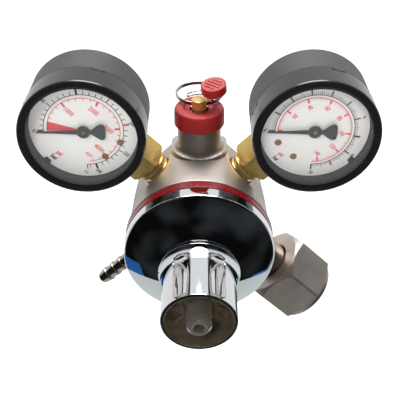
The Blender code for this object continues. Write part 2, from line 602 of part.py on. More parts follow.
def make_inlet():
    place = port_axis(INLET_PORT)
    nipple = [
        (3.2, 17.0), (8.1, 17.0), (8.1, 26.9), (NECK_PIPE_RADIUS, 27.3), (NECK_PIPE_RADIUS, 55.2),
        (11.6, 55.2), (11.6, 60.0), (9.6, 60.0), (9.6, 62.6), (5.6, 62.6), (5.6, 56.0), (3.2, 56.0),
    ]  # fmt: skip
    turned("inlet_nipple", nipple, place, "polished_chrome", 20)
    turned("inlet_filter", [(0, 56.3), (5.3, 56.3), (5.3, 62.0), (0, 62.0)], place, "copper_alloy", 12)
    turned("inlet_washer", [(4.2, 62.9), (9.3, 62.9), (9.3, 64.7), (4.2, 64.7)], place, "white_seal")
    corner = NUT_ACROSS_FLATS / math.sqrt(3)
    nut = prism("inlet_nut", ring_of(6, corner, 0), NUT_BACK, NUT_END, place, "satin_nickel")
    rounding = [
        (0, NUT_BACK - 1), (15.9, NUT_BACK - 1), (16.0, NUT_BACK), (19.8, NUT_BACK + 3.4),
        (19.8, NUT_END - 4.0), (16.2, NUT_END - 2.0), (16.2, NUT_END + 1), (0, NUT_END + 1),
    ]  # fmt: skip
    combine(nut, [turned("nut_rounding", rounding, place, "steel", 24)], "INTERSECT")
    bore = [
        (0, 45), (9.5, 45), (9.5, 54.6), (12.2, 54.6), (12.2, NUT_END - 1.2), (13.2, NUT_END - 0.2),
        (13.2, 80), (0, 80),
    ]  # fmt: skip
    cut(nut, turned("nut_bore", bore, place, "steel", 20))


def make_outlet():
    place = port_axis(OUTLET_PORT)
    barbs = []
    for i in range(4):
        end = TAIL_END - 1.6 - 5.1 * i
        barbs += [(3.15, end - 5.0), (3.75, end - 4.2)] if i == 3 else [(3.1, end - 4.6), (3.75, end - 3.9)]
    barbs = sorted(barbs, key=lambda point: point[1])
    profile = [
        (2.0, 20.0), (5.9, 20.0), (6.55, 20.8), (6.55, 27.4), (8.6, 27.8), (8.6, 36.0), (4.4, 36.6),
        (4.4, 40.0), (3.1, 41.4), *barbs, (3.1, TAIL_END - 0.9), (2.9, TAIL_END), (2.0, TAIL_END),
    ]  # fmt: skip
    tail = turned("hose_tail", profile, place, "satin_nickel", 12)
    hexagon = prism("tail_hexagon", ring_of(6, 17.0 / math.sqrt(3)), 28.2, 35.8, place, "satin_nickel")
    cut(hexagon, rod("tail_bore", 3.0, 20, 40, place))
    add(tail, hexagon)


def main():
    clear_scene()
    make_body()
    make_diaphragm_stack()
    make_bonnet()
    make_valve()
    make_knob()
    make_drive()
    make_relief_valve()
    make_pull_ring()
    make_gauge("left", LEFT_PORT)
    make_gauge("right", RIGHT_PORT)
    make_inlet()
    make_outlet()
    bpy.context.view_layer.update()


main()
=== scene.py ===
"""The finished look of the cylinder gas regulator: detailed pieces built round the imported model.

Laid out as an add-on: settings, one operator for each piece or group of pieces, and a sidebar panel.
Shapes are worked out in millimetres, in the place of the port, gauge or knob that they belong to,
and turned to metres when a piece is finished. A piece's place is in its mesh.
"""

import json
import math

import bmesh
import bpy
from mathutils import Matrix, Vector


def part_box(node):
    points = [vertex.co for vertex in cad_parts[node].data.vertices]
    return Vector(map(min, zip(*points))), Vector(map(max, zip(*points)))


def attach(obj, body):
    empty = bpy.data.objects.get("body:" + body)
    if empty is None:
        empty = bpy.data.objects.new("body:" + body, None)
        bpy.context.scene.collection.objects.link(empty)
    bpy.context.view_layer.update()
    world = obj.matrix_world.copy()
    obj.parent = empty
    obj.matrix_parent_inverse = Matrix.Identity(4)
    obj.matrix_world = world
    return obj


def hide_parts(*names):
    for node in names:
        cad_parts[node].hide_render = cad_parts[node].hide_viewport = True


bl_info = {
    "name": "Gas Regulator",
    "version": (1, 0, 0),
    "blender": (4, 5, 0),
    "location": "3D View > Sidebar > Regulator",
    "description": "Builds the visible pieces of a cylinder gas regulator round its packed model",
    "category": "Object",
}

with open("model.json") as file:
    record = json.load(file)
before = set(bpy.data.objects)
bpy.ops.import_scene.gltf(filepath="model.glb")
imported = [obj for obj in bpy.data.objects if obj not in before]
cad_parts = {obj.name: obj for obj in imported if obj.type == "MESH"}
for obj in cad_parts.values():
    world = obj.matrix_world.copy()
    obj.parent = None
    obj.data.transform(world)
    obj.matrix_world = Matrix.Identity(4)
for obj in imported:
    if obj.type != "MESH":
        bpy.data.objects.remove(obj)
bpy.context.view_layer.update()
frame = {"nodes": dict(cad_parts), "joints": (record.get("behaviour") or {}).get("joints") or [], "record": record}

MM = 0.001
SMOOTH = 120  # steps round a large turned piece
LIFT = 0.03  # height of printed marks over the dial
CAMERA_PLACE, CAMERA_TILT = (0.00032, -0.2699, 0.1912), 53.65  # metres, and degrees from straight down

JOINTS = {joint["name"]: joint for joint in frame["joints"]}
PORTS = Vector(JOINTS["nut_turn"]["pos_m"])
GAUGES = {side: Vector(JOINTS[side + "_pointer_turn"]["pos_m"]) for side in ("left", "right")}
MOUNTS = {mount["name"]: mount for mount in frame["record"]["mounts"]}


def front_of(node):
    """How far in front of the rear face a node reaches, in millimetres."""
    return -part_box(node)[0].y / MM


def back_of(node):
    """How far in front of the rear face a node begins, in millimetres."""
    return -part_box(node)[1].y / MM


def reach_of(node):
    """How far up a node reaches, in millimetres."""
    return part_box(node)[1].z / MM


GAUGE_REACH = (GAUGES["right"] - PORTS).length / MM
PORT_HEIGHT = -PORTS.y / MM
OUTLET_AXIS = Vector(MOUNTS["outlet_tail"]["axis"])
OUTLET_ANGLE = math.degrees(math.atan2(OUTLET_AXIS.z, OUTLET_AXIS.x))
TAIL_END = (Vector(MOUNTS["outlet_tail"]["pos_m"]) - PORTS).dot(OUTLET_AXIS) / MM
INLET_ANGLE, LEFT_ANGLE, RIGHT_ANGLE, RELIEF_ANGLE = -45.0, 135.0, 45.0, 90.0
DIAL_FACE = front_of("left_gauge_dial")
GAUGE_FRONT, GAUGE_BACK = front_of("left_gauge_bezel"), back_of("left_gauge_case")
SEAM = back_of("left_gauge_bezel") - 0.3
KNOB_RIM, KNOB_LIP = front_of("knob"), back_of("knob")
SCREW_END = front_of("adjusting_screw")
FLANGE_FRONT = back_of("colour_ring") - 0.3
CAP_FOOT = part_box("relief_cap")[0].z / MM
CAP_TOP, PIN_TOP = reach_of("relief_cap"), reach_of("relief_pin")
RING_HEIGHT = JOINTS["ring_swing"]["pos_m"][2] / MM


# Settings that a user would change.


class RegulatorSettings(bpy.types.PropertyGroup):
    ring_colour: bpy.props.StringProperty(
        name="Ring colour", description="Colour ring, as hex", default="#74101A"
    )
    cap_colour: bpy.props.StringProperty(
        name="Cap colour", description="Relief cap and seal, as hex", default="#961412"
    )
    ink_red: bpy.props.StringProperty(
        name="Red ink", description="Red marks on the dials, as hex", default="#E0404A"
    )
    flutes: bpy.props.IntProperty(
        name="Flutes", description="Grips cut in the knob", default=6, min=3, max=12
    )
    thread_pitch: bpy.props.FloatProperty(
        name="Thread pitch", description="Pitch of the adjusting screw, in mm", default=1.5, min=0.5, max=3.0
    )
    high_scale: bpy.props.FloatProperty(
        name="High scale", description="Inlet gauge's range, in bar", default=315.0
    )
    low_scale: bpy.props.FloatProperty(
        name="Low scale", description="Outlet gauge's range, in bar", default=10.0
    )
    ring_wire: bpy.props.FloatProperty(
        name="Ring wire", description="Thickness of the pull ring's wire, in mm", default=0.85
    )
    seal_wire: bpy.props.FloatProperty(
        name="Seal wire", description="Thickness of each strand, in mm", default=0.36
    )
    barbs: bpy.props.IntProperty(
        name="Barbs", description="Barbs on the hose tail", default=4, min=2, max=6
    )
    camera_lens: bpy.props.FloatProperty(name="Lens", description="Camera lens, in mm", default=61.9)


def settings():
    return bpy.context.scene.regulator


# Places. Each has its local Z along the axis that its pieces are turned about.


def knob_place():
    """Local Z runs forwards, towards the knob, and local Y points up."""
    return Matrix.Rotation(math.radians(90), 4, "X")


def port_place(angle):
    """Local Z runs outwards along a port."""
    return Matrix.Translation(PORTS) @ Matrix.Rotation(math.radians(90 - angle), 4, "Y")


def gauge_place(side, turn=0.0):
    """Local Z runs forwards through a gauge, and local Y points up, or is turned from there."""
    centre = Vector((GAUGES[side].x, 0, GAUGES[side].z))
    return Matrix.Translation(centre) @ knob_place() @ Matrix.Rotation(math.radians(turn), 4, "Z")


def stemwise(side):
    """The gauge's place turned so that local Y points away from the body."""
    return gauge_place(side, 45.0 if side == "left" else -45.0)


def scaled(place):
    """The place for a shape in millimetres."""
    return place @ Matrix.Scale(MM, 4)


# Shapes.


def softened(profile, radius, closed=False, segments=4):
    """The profile with each corner rounded by a small arc."""
    points = [Vector(point) for point in profile]
    out = []
    for i, point in enumerate(points):
        if not closed and i in (0, len(points) - 1):
            out.append(point)
            continue
        before, after = points[i - 1], points[(i + 1) % len(points)]
        size = min(radius, (before - point).length * 0.45, (after - point).length * 0.45)
        start = point.lerp(before, size / (before - point).length)
        end = point.lerp(after, size / (after - point).length)
        for step in range(segments + 1):
            t = step / segments
            out.append(start.lerp(point, t).lerp(point.lerp(end, t), t))
    return [tuple(point) for point in out]


def arc_between(start, end, rise, count):
    """Points on a shallow arc, which stands out to the left of the line by rise."""
    start, end = Vector(start), Vector(end)
    across = (end - start).orthogonal().normalized()
    steps = [i / count for i in range(count + 1)]
    return [tuple(start.lerp(end, t) + across * rise * 4 * t * (1 - t)) for t in steps]


def lathe(profile, steps=SMOOTH, soft=0.0):
    """A turned solid. Its (radius, height) profile runs from axis to axis, or else closes into a ring."""
    ring = profile[0][0] > 0 or profile[-1][0] > 0
    if soft:
        profile = softened(profile, soft, ring)
    mesh = bmesh.new()
    points = [mesh.verts.new((radius, 0, height)) for radius, height in profile]
    edges = [mesh.edges.new(pair) for pair in zip(points, points[1:])]
    if ring:
        edges.append(mesh.edges.new((points[-1], points[0])))
    bmesh.ops.spin(
        mesh, geom=points + edges, cent=(0, 0, 0), axis=(0, 0, 1), angle=math.tau, steps=steps, use_merge=True
    )
    bmesh.ops.remove_doubles(mesh, verts=mesh.verts, dist=1e-4)
    return outward(mesh)


def outward(mesh):
    bmesh.ops.recalc_face_normals(mesh, faces=mesh.faces)
    return mesh


def prism(outline, low, high):
    """An outline of (x, y) points, extruded along local Z."""
    mesh = bmesh.new()
    face = mesh.faces.new([mesh.verts.new((x, y, low)) for x, y in outline])
    return thickened(mesh, [face], high - low)


def thickened(mesh, faces, height):
    """The mesh with these flat faces grown along local Z."""
    grown = bmesh.ops.extrude_face_region(mesh, geom=faces)["geom"]
    raised = [item for item in grown if isinstance(item, bmesh.types.BMVert)]
    bmesh.ops.translate(mesh, verts=raised, vec=(0, 0, height))
    return outward(mesh)


def bar(x, y, low, high):
    """A straight bar round local Z, which reaches x and y to each side."""
    return prism([(-x, -y), (x, -y), (x, y), (-x, y)], low, high)


def loft(rings):
    """A closed solid through rings of points, each with the same count."""
    mesh = bmesh.new()
    loops = []
    for ring in rings:
        points = [mesh.verts.new(point) for point in ring]
        loops.append([mesh.edges.new(pair) for pair in zip(points, points[1:] + points[:1])])
    for one, other in zip(loops, loops[1:]):
        bmesh.ops.bridge_loops(mesh, edges=one + other)
    bmesh.ops.holes_fill(mesh, edges=loops[0] + loops[-1])
    return outward(mesh)


def regular(count, radius, first=0.0):
    turns = [math.radians(first + 360 * i / count) for i in range(count)]
    return [(radius * math.cos(turn), radius * math.sin(turn)) for turn in turns]


def moved(mesh, place):
    mesh.transform(place)
    return mesh


def turned_by(degrees):
    """A turn about local Z."""
    return Matrix.Rotation(math.radians(degrees), 4, "Z")


def shifted(mesh, x=0.0, y=0.0, z=0.0):
    return moved(mesh, Matrix.Translation((x, y, z)))


def joined(*meshes):
    """One bmesh that holds all of these."""
    whole = meshes[0]
    for mesh in meshes[1:]:
        data = bpy.data.meshes.new("joined")
        mesh.to_mesh(data)
        whole.from_mesh(data)
        bpy.data.meshes.remove(data)
        mesh.free()
    return whole


def rounded_edges(mesh, width, angle=30.0, segments=2):
    """Bevels the edges that turn by more than the angle."""
    limit = math.radians(angle)
    edges = [edge for edge in mesh.edges if edge.is_manifold and edge.calc_face_angle() > limit]
    bmesh.ops.bevel(
        mesh, geom=edges, offset=width, segments=segments, profile=0.5, affect="EDGES", material=-1,
        clamp_overlap=True,
    )  # fmt: skip
    return outward(mesh)


def solid_object(name, mesh):
    data = bpy.data.meshes.new(name)
    mesh.to_mesh(data)
    mesh.free()
    made = bpy.data.objects.new(name, data)
    bpy.context.scene.collection.objects.link(made)
    return made


def combined(mesh, others, operation):
    """Joins closed meshes to this one, or cuts them from it."""
    target = solid_object("target", mesh)
    tools = [solid_object("tool", other) for other in others]
    for tool in tools:
        modifier = target.modifiers.new("combine", "BOOLEAN")
        modifier.operation, modifier.solver, modifier.object = operation, "EXACT", tool
    graph = bpy.context.evaluated_depsgraph_get()
    result = bmesh.new()
    result.from_mesh(target.evaluated_get(graph).to_mesh())
    for item in [target, *tools]:
        data = item.data
        bpy.data.objects.remove(item)
        bpy.data.meshes.remove(data)
    bmesh.ops.dissolve_degenerate(result, edges=result.edges, dist=1e-4)
    return outward(result)


def wire(points, radius, closed=False, sides=5):
    """A round wire through points, as a mesh."""
    line = bpy.data.curves.new("wire", "CURVE")
    line.dimensions = "3D"
    spline = line.splines.new("POLY")
    spline.points.add(len(points) - 1)
    for knot, point in zip(spline.points, points):
        knot.co = (*point, 1.0)
    spline.use_cyclic_u = closed
    line.bevel_depth, line.bevel_resolution, line.use_fill_caps = radius, sides, not closed
    return from_curve(line)


def from_curve(line):
    """The mesh of a curve or a text, in its own place."""
    holder = bpy.data.objects.new("holder", line)
    bpy.context.scene.collection.objects.link(holder)
    graph = bpy.context.evaluated_depsgraph_get()
    mesh = bmesh.new()
    mesh.from_mesh(holder.evaluated_get(graph).to_mesh())
    bpy.data.objects.remove(holder)
    bpy.data.curves.remove(line)
    bmesh.ops.remove_doubles(mesh, verts=mesh.verts, dist=1e-5)
    return mesh


def smooth_path(points, per_span=8, closed=False):
    """A Catmull-Rom curve through given points."""
    knots = [Vector(point) for point in points]
    if closed:
        knots = [knots[-1], *knots, knots[0], knots[1]]
    else:
        knots = [knots[0] * 2 - knots[1], *knots, knots[-1] * 2 - knots[-2]]
    path = []
    for a, b, c, d in zip(knots, knots[1:], knots[2:], knots[3:]):
        for step in range(per_span):
            t = step / per_span
            square, cube = (2 * a - 5 * b + 4 * c - d) * t * t, (3 * b - a - 3 * c + d) * t**3
            path.append(0.5 * (2 * b + (c - a) * t + square + cube))
    return path if closed else path + [knots[-2]]


def piece(name, mesh, place, finishes, body, stands_for=()):
    """Finishes a piece: its place goes into its mesh, and it rides on its body in place of the CAD nodes."""
    moved(mesh, scaled(place))
    made = solid_object(name, mesh)
    for finish in finishes if isinstance(finishes, (list, tuple)) else [finishes]:
        made.data.materials.append(finish)
    made.data.shade_smooth()
    made.data.set_sharp_from_angle(angle=math.radians(32))
    weights = made.modifiers.new("even_normals", "WEIGHTED_NORMAL")
    weights.keep_sharp = True
    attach(made, body)
    if stands_for:
        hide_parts(*stands_for)
    return made


def repaint(node, finish):
    """Gives a carried-over CAD node its finish."""
    shown = frame["nodes"][node]
    shown.data.materials.clear()
    shown.data.materials.append(finish)


# Materials.


def linear(code):
    """A hex sRGB colour as linear red, green, blue and alpha."""
    channels = [int(code[i : i + 2], 16) / 255 for i in (1, 3, 5)]
    return tuple(c / 12.92 if c <= 0.04045 else ((c + 0.055) / 1.055) ** 2.4 for c in channels) + (1.0,)


def add_node(tree, kind, values=None, links=None):
    """Adds a shader node with its settings and its links."""
    made = tree.nodes.new(kind)
    for key, value in (values or {}).items():
        if isinstance(key, int) or key in made.inputs:
            made.inputs[key].default_value = value
        else:
            setattr(made, key, value)
    for key, source in (links or {}).items():
        tree.links.new(source, made.inputs[key])
    return made


def surface(
    name, colour, roughness, metallic=0.0, grain=0.3, relief=0.2, spread=0.05, tint=None, stretch=(1, 1, 1)
):
    """A finish whose colour and roughness drift slowly, with a fine relief. The grain is in millimetres."""
    if name in bpy.data.materials:
        return bpy.data.materials[name]
    material = bpy.data.materials.new(name)
    material.use_nodes = True
    tree = material.node_tree
    shader = tree.nodes["Principled BSDF"]
    shader.inputs["Metallic"].default_value = metallic
    spot = add_node(tree, "ShaderNodeTexCoord").outputs["Object"]
    spot = add_node(tree, "ShaderNodeMapping", {"Scale": stretch}, {"Vector": spot}).outputs["Vector"]
    fine = add_node(tree, "ShaderNodeTexNoise", {"Scale": 1 / (grain * MM), "Detail": 3.0}, {"Vector": spot})
    broad = add_node(tree, "ShaderNodeTexNoise", {"Scale": 1 / (12 * MM), "Detail": 4.0}, {"Vector": spot})
    tones = add_node(tree, "ShaderNodeValToRGB", {}, {"Fac": broad.outputs["Fac"]})
    for element, position, code in zip(tones.color_ramp.elements, (0.3, 0.7), (tint or colour, colour)):
        element.position, element.color = position, linear(code)
    tree.links.new(tones.outputs["Color"], shader.inputs["Base Color"])
    least, most = max(roughness - spread, 0.0), roughness + spread
    drift = add_node(
        tree, "ShaderNodeMapRange",
        {"From Min": 0.3, "From Max": 0.7, "To Min": least, "To Max": most},
        {"Value": fine.outputs["Fac"]},
    )  # fmt: skip
    tree.links.new(drift.outputs["Result"], shader.inputs["Roughness"])
    if relief:
        depth = {"Strength": relief, "Distance": grain * MM * 0.3}
        bump = add_node(tree, "ShaderNodeBump", depth, {"Height": fine.outputs["Fac"]})
        tree.links.new(bump.outputs["Normal"], shader.inputs["Normal"])
    return material


def blasted_nickel():
    """Nickel plate over a blasted brass forging: warm grey, with an even grain that breaks up reflections."""
    return surface("blasted_nickel_plate", "#C2B8B0", 0.4, 0.9, 0.3, 1.0, 0.12, "#A89E96")


def ground_nickel():
    """Nickel plate over turned brass: smoother than the forging, with soft streaks of light."""
    return surface("turned_nickel_plate", "#BDB2A8", 0.2, 1.0, 0.25, 0.1, 0.05, "#A89C92")


def polished_chrome():
    """Bright chrome over polished zinc: a mirror, with only the faintest haze."""
    return surface("polished_chrome_plate", "#DADCDE", 0.035, 1.0, 0.8, 0.0, 0.012)


def tarnished_nickel():
    """Thin nickel inside the cast knob, where the brass below shows through as a brown, cloudy sheen."""
    return surface("tarnished_cast_nickel", "#D6CAB4", 0.2, 0.88, 1.2, 0.2, 0.06, "#A5957C")


def milled_brass():
    """Drawn square brass with fine marks across the bar from the cutter."""
    return surface("milled_brass", "#D3B673", 0.3, 0.9, 0.25, 0.12, 0.05, "#C9A862", (1, 0.1, 1))


def turned_brass():
    """Turned brass, bright and orange-gold in its grooves."""
    return surface("turned_brass", "#DDBC80", 0.24, 0.8, 0.15, 0.08, 0.05, "#CDA663")


def bright_steel():
    """Bright turned steel, slightly darkened by oil."""
    return surface("turned_steel", "#D8D1C6", 0.22, 0.88, 0.5, 0.03, 0.05, "#C2BAAE")


def spring_wire():
    """Nickelled spring wire with dark reflections."""
    return surface("nickelled_spring_wire", "#BDB8B0", 0.14, 1.0, 0.2, 0.1, 0.05, "#9A948C")


def case_plastic():
    """Moulded ABS with a fine spark-eroded texture: dark grey, and dull in every light."""
    return surface("textured_abs", "#313234", 0.52, 0.0, 0.22, 0.6, 0.08, "#2B2C2D")


def bezel_plastic():
    """Glossy black ABS, with the soft sheen of an unpainted moulding."""
    return surface("gloss_black_abs", "#17181A", 0.2, 0.0, 0.3, 0.08, 0.05)


def pointer_paint():
    """Dark semi-matt paint on stamped aluminium."""
    return surface("semi_matt_pointer_paint", "#26292D", 0.45, 0.0, 0.2, 0.3, 0.08, "#2D3035")


def dial_enamel():
    """White enamel on aluminium sheet, faintly warm and matt."""
    return surface("white_dial_enamel", "#E4E2DF", 0.55, 0.0, 0.5, 0.05, 0.04, "#E0DEDA")


def dial_ink(red):
    """Screen-printed ink, matt and full in colour."""
    if red:
        return surface("red_dial_ink", settings().ink_red, 0.6, 0.0, 0.2, 0.05, 0.03)
    return surface("black_dial_ink", "#17181A", 0.6, 0.0, 0.2, 0.05, 0.03)


def cap_plastic():
    """Grained red polyamide: its pits catch small dark and light points."""
    return surface("grained_red_polyamide", settings().cap_colour, 0.45, 0.0, 0.45, 1.0, 0.12, "#82100F")


def seal_plastic():
    """Smooth red polystyrene of a crimped seal."""
    return surface("smooth_red_polystyrene", settings().cap_colour, 0.35, 0.0, 0.5, 0.3, 0.06, "#8A1211")


def ring_plastic():
    """Smooth dark red plastic between two metal faces, glossy at its edges."""
    return surface("gloss_red_ring_plastic", settings().ring_colour, 0.26, 0.0, 0.5, 0.05, 0.05, "#620C12")


def nitrile():
    """Moulded nitrile rubber, matt black."""
    return surface("moulded_nitrile", "#1C1C1C", 0.8, 0.0, 0.4, 0.3, 0.06)


def ptfe():
    """Skived PTFE: waxy, off-white and faintly streaked."""
    return surface("skived_ptfe", "#DAD7CC", 0.5, 0.0, 0.3, 0.15, 0.06)


def bronze():
    """Bronze tube, brown-gold and lightly oxidised."""
    return surface("oxidised_bronze", "#B5784A", 0.35, 1.0, 0.3, 0.15, 0.08, "#96603A")


def clear_window():
    """Clear polycarbonate: nearly invisible, with a thin highlight."""
    material = surface("clear_polycarbonate", "#FFFFFF", 0.05, 0.0, 1.0, 0.0, 0.02)
    shader = material.node_tree.nodes["Principled BSDF"]
    shader.inputs["Alpha"].default_value = 0.03
    shader.inputs["IOR"].default_value = 1.58
    return material


# Body.


def body_core():
    """The turned forging with its flats milled for the four angled ports."""
    core = [
        (0, 0), (27.6, 0), (29.4, 1.8), (30.2, 14), (30.8, 30), (30.8, 37.6), (31.4, 38.5), (32.0, 39.0),
        (32.0, FLANGE_FRONT), (29.2, FLANGE_FRONT), (29.2, 36.0), (0, 36.0),
    ]  # fmt: skip
    milled = [flat_cutter(angle) for angle in (LEFT_ANGLE, RIGHT_ANGLE, INLET_ANGLE, OUTLET_ANGLE)]
    return combined(lathe(core, 144, 0.35), milled, "DIFFERENCE")


def flat_cutter(angle):
    """The space that milling a port's flat takes away, with a sloped wall at its front."""
    flat = 26.5
    outline = [(-3.0, flat), (27.0, flat), (30.4, flat + 5), (30.4, 40), (-3.0, 40)]
    standing = Matrix(((0, 0, -1, 0), (-1, 0, 0, 0), (0, 1, 0, 0), (0, 0, 0, 1)))
    lying = Matrix.Rotation(math.radians(-90), 4, "X") @ Matrix.Rotation(math.radians(90 - angle), 4, "Y")
    return moved(prism(outline, -24, 24), lying @ standing)


def land():
    """The raised land between the gauge ports. It spreads to the flange, with a chamfer along both edges."""
    stations = [
        (0.8, 12.2), (1.6, 12.4), (8, 12.4), (14, 12.7), (18, 13.2), (22, 14.1), (25, 15.4), (27.2, 16.8),
        (28.8, 18.6), (29.9, 20.6), (30.7, 22.8), (31.0, 24.2), (38.9, 24.2),
    ]  # fmt: skip
    rings, foot, chamfer = [], 12, 1.3
    for height, half in stations:
        skin = 31.0 if height < 1 else 31.6
        crown = [(half - chamfer) * (1 - i / 12) for i in range(25)]
        top = [(x, math.sqrt(skin**2 - x**2), height) for x in crown]
        edge = math.sqrt(skin**2 - half**2) - chamfer * 0.8
        right = [(half, foot, height), (half, edge, height)]
        left = [(-half, edge, height), (-half, foot, height)]
        rings.append([*right, *top, *left])
    return loft(rings)


def tower():
    """The relief valve's tower, which grows out of the land through a small fillet."""
    foot = arc_between((12.0, 32.0), (9.3, 35.4), 0.75, 8)
    profile = [
        (0, 24), (12.3, 24), (12.3, 31.2), *foot, (9.3, CAP_FOOT - 0.3), (7.5, CAP_FOOT - 0.3),
        (7.5, CAP_FOOT + 4.4), (6.0, CAP_FOOT + 4.4), (6.0, CAP_FOOT), (0, CAP_FOOT),
    ]  # fmt: skip
    place = Matrix.Rotation(math.radians(-90), 4, "X") @ Matrix.Translation((0, -PORT_HEIGHT, 0))
    return moved(lathe(profile, 72, 0.15), place)


class REGULATOR_OT_body(bpy.types.Operator):
    """Builds the forged body with its land, tower and ports"""

    bl_idname = "regulator.body"
    bl_label = "Body"

    def execute(self, context):
        whole = combined(body_core(), [land(), tower()], "UNION")
        lying = Matrix.Rotation(math.radians(-90), 4, "X")
        holes = []
        for angle in (LEFT_ANGLE, RIGHT_ANGLE, INLET_ANGLE, OUTLET_ANGLE):
            radius, floor = (8.4, 16.0) if angle == INLET_ANGLE else (6.9, 19.0)
            mouth = radius + 0.5
            bore = [(0, floor), (radius, floor), (radius, 26.1), (mouth, 26.6), (mouth, 44), (0, 44)]
            hole = lathe(bore, 64)
            turn = Matrix.Rotation(math.radians(90 - angle), 4, "Y")
            holes.append(moved(hole, lying @ Matrix.Translation((0, -PORT_HEIGHT, 0)) @ turn))
        whole = combined(whole, holes, "DIFFERENCE")
        piece("forged_body", whole, knob_place(), blasted_nickel(), "regulator_body",
              ["body"])  # fmt: skip
        return {"FINISHED"}


class REGULATOR_OT_colour_ring(bpy.types.Operator):
    """Builds the colour ring between the body and the bonnet"""

    bl_idname = "regulator.colour_ring"
    bl_label = "Colour ring"

    def execute(self, context):
        low, high = back_of("colour_ring"), front_of("colour_ring")
        profile = [(29.2, low), (31.9, low), (31.9, high), (29.2, high)]
        piece("colour_coded_ring", lathe(profile, 160, 0.3), knob_place(), ring_plastic(), "regulator_body",
              ["colour_ring"])  # fmt: skip
        return {"FINISHED"}


class REGULATOR_OT_bonnet(bpy.types.Operator):
    """Builds the domed chrome bonnet"""

    bl_idname = "regulator.bonnet"
    bl_label = "Bonnet"

    def execute(self, context):
        back, band = 44.8, 50.0
        dome = arc_between((31.3, band + 0.8), (15.4, 60.0), -1.3, 24)
        profile = [
            (28.9, 38.9), (28.9, back), (31.5, back), (31.8, back + 0.3), (31.8, band), *dome, (12.4, 60.3),
            (12.4, 70.7), (10.4, 70.7), (10.4, 58.0), (15.5, 57.3), (23.0, 53.6), (27.6, 49.3), (27.6, 46.0),
            (24.6, 44.4), (24.6, 38.9),
        ]  # fmt: skip
        piece("chromed_bonnet", lathe(profile, 192, 0.25), knob_place(), polished_chrome(), "regulator_body",
              ["bonnet"])  # fmt: skip
        return {"FINISHED"}


# Knob and screw.


def knob_cup(flutes):
    """The cup, whose flutes stop short of the rim, with a ribbed web round the screw."""
    flare = arc_between((16.9, KNOB_LIP + 0.8), (15.25, KNOB_LIP + 6.2), 0.45, 10)
    outer = [
        (12.8, KNOB_LIP), (16.55, KNOB_LIP), *flare, (14.85, KNOB_RIM - 0.45), (14.45, KNOB_RIM),
        (13.55, KNOB_RIM),
    ]  # fmt: skip
    inner = [
        (13.3, KNOB_RIM - 0.5), (13.05, 77.6), (12.2, 76.9), (10.4, 76.9), (9.9, 77.8), (7.8, 77.8),
        (7.3, 78.4), (6.6, 78.2), (6.6, 76.3), (7.9, 76.3), (7.9, 71.4), (12.8, 71.4),
    ]  # fmt: skip
    cup = lathe(outer + inner, 180, 0.12)
    groove = [
        (0, 64.9), (7.2, 64.9), (8.9, 66.0), (9.5, 67.9), (9.5, 86.5), (9.1, 87.3), (7.8, 87.7), (0, 87.7),
    ]  # fmt: skip
    cutters, cutter_reach = [], 23.7
    for i in range(flutes):
        turn = math.tau * (i + 0.5) / flutes
        cutter = lathe(groove, 96, 0.5)
        cutters.append(shifted(cutter, cutter_reach * math.sin(turn), cutter_reach * math.cos(turn)))
    cup = combined(cup, cutters, "DIFFERENCE")
    return combined(cup, [rib(i, 12) for i in range(12)], "UNION")


def rib(index, count):
    """One short rib of the web, which rises towards the wall."""
    wide = 0.62 if index % 2 else 1.5
    outline = [(7.3, 76.6), (13.15, 76.6), (13.15, 79.4 if index % 2 else 78.6), (9.6, 78.7), (7.9, 78.3)]
    upright = Matrix(((1, 0, 0, 0), (0, 0, -1, 0), (0, 1, 0, 0), (0, 0, 0, 1)))
    turn = Matrix.Rotation(math.tau * (index + 0.5) / count, 4, "Z")
    return moved(prism(outline, -wide, wide), turn @ upright)


def mark_inside(mesh, radius, low):
    """Gives the second material to the faces inside the cup."""
    for face in mesh.faces:
        middle = face.calc_center_median()
        inside = math.hypot(middle.x, middle.y) < radius and middle.z > low
        face.material_index = 1 if inside else 0
    return mesh


class REGULATOR_OT_knob(bpy.types.Operator):
    """Builds the fluted knob"""

    bl_idname = "regulator.knob"
    bl_label = "Knob"

    def execute(self, context):
        cup = mark_inside(knob_cup(settings().flutes), 13.52, 71.0)
        finishes = [polished_chrome(), tarnished_nickel()]
        piece("fluted_knob", cup, knob_place(), finishes, "knob", ["knob"])
        return {"FINISHED"}


def threaded_rod(low, high, pitch):
    """A rod with a cut thread, from a tooth that is spun along a helix and closed at both ends."""
    crest, root = 4.87, 3.75
    tooth = [(root, 0.0), (root, pitch * 0.2), (crest, pitch * 0.52), (crest, pitch * 0.66), (root, pitch)]
    mesh = bmesh.new()
    points = [mesh.verts.new((radius, 0, low - pitch + height)) for radius, height in tooth]
    edges = [mesh.edges.new(pair) for pair in zip(points, points[1:])]
    turns, per_turn = int((high - low) / pitch) + 3, 64
    bmesh.ops.spin(
        mesh, geom=points + edges, cent=(0, 0, 0), axis=(0, 0, 1), dvec=(0, 0, pitch / per_turn),
        angle=math.tau * turns, steps=per_turn * turns,
    )  # fmt: skip
    bmesh.ops.remove_doubles(mesh, verts=mesh.verts, dist=1e-3)
    bmesh.ops.holes_fill(mesh, edges=[edge for edge in mesh.edges if edge.is_boundary])
    return outward(mesh)


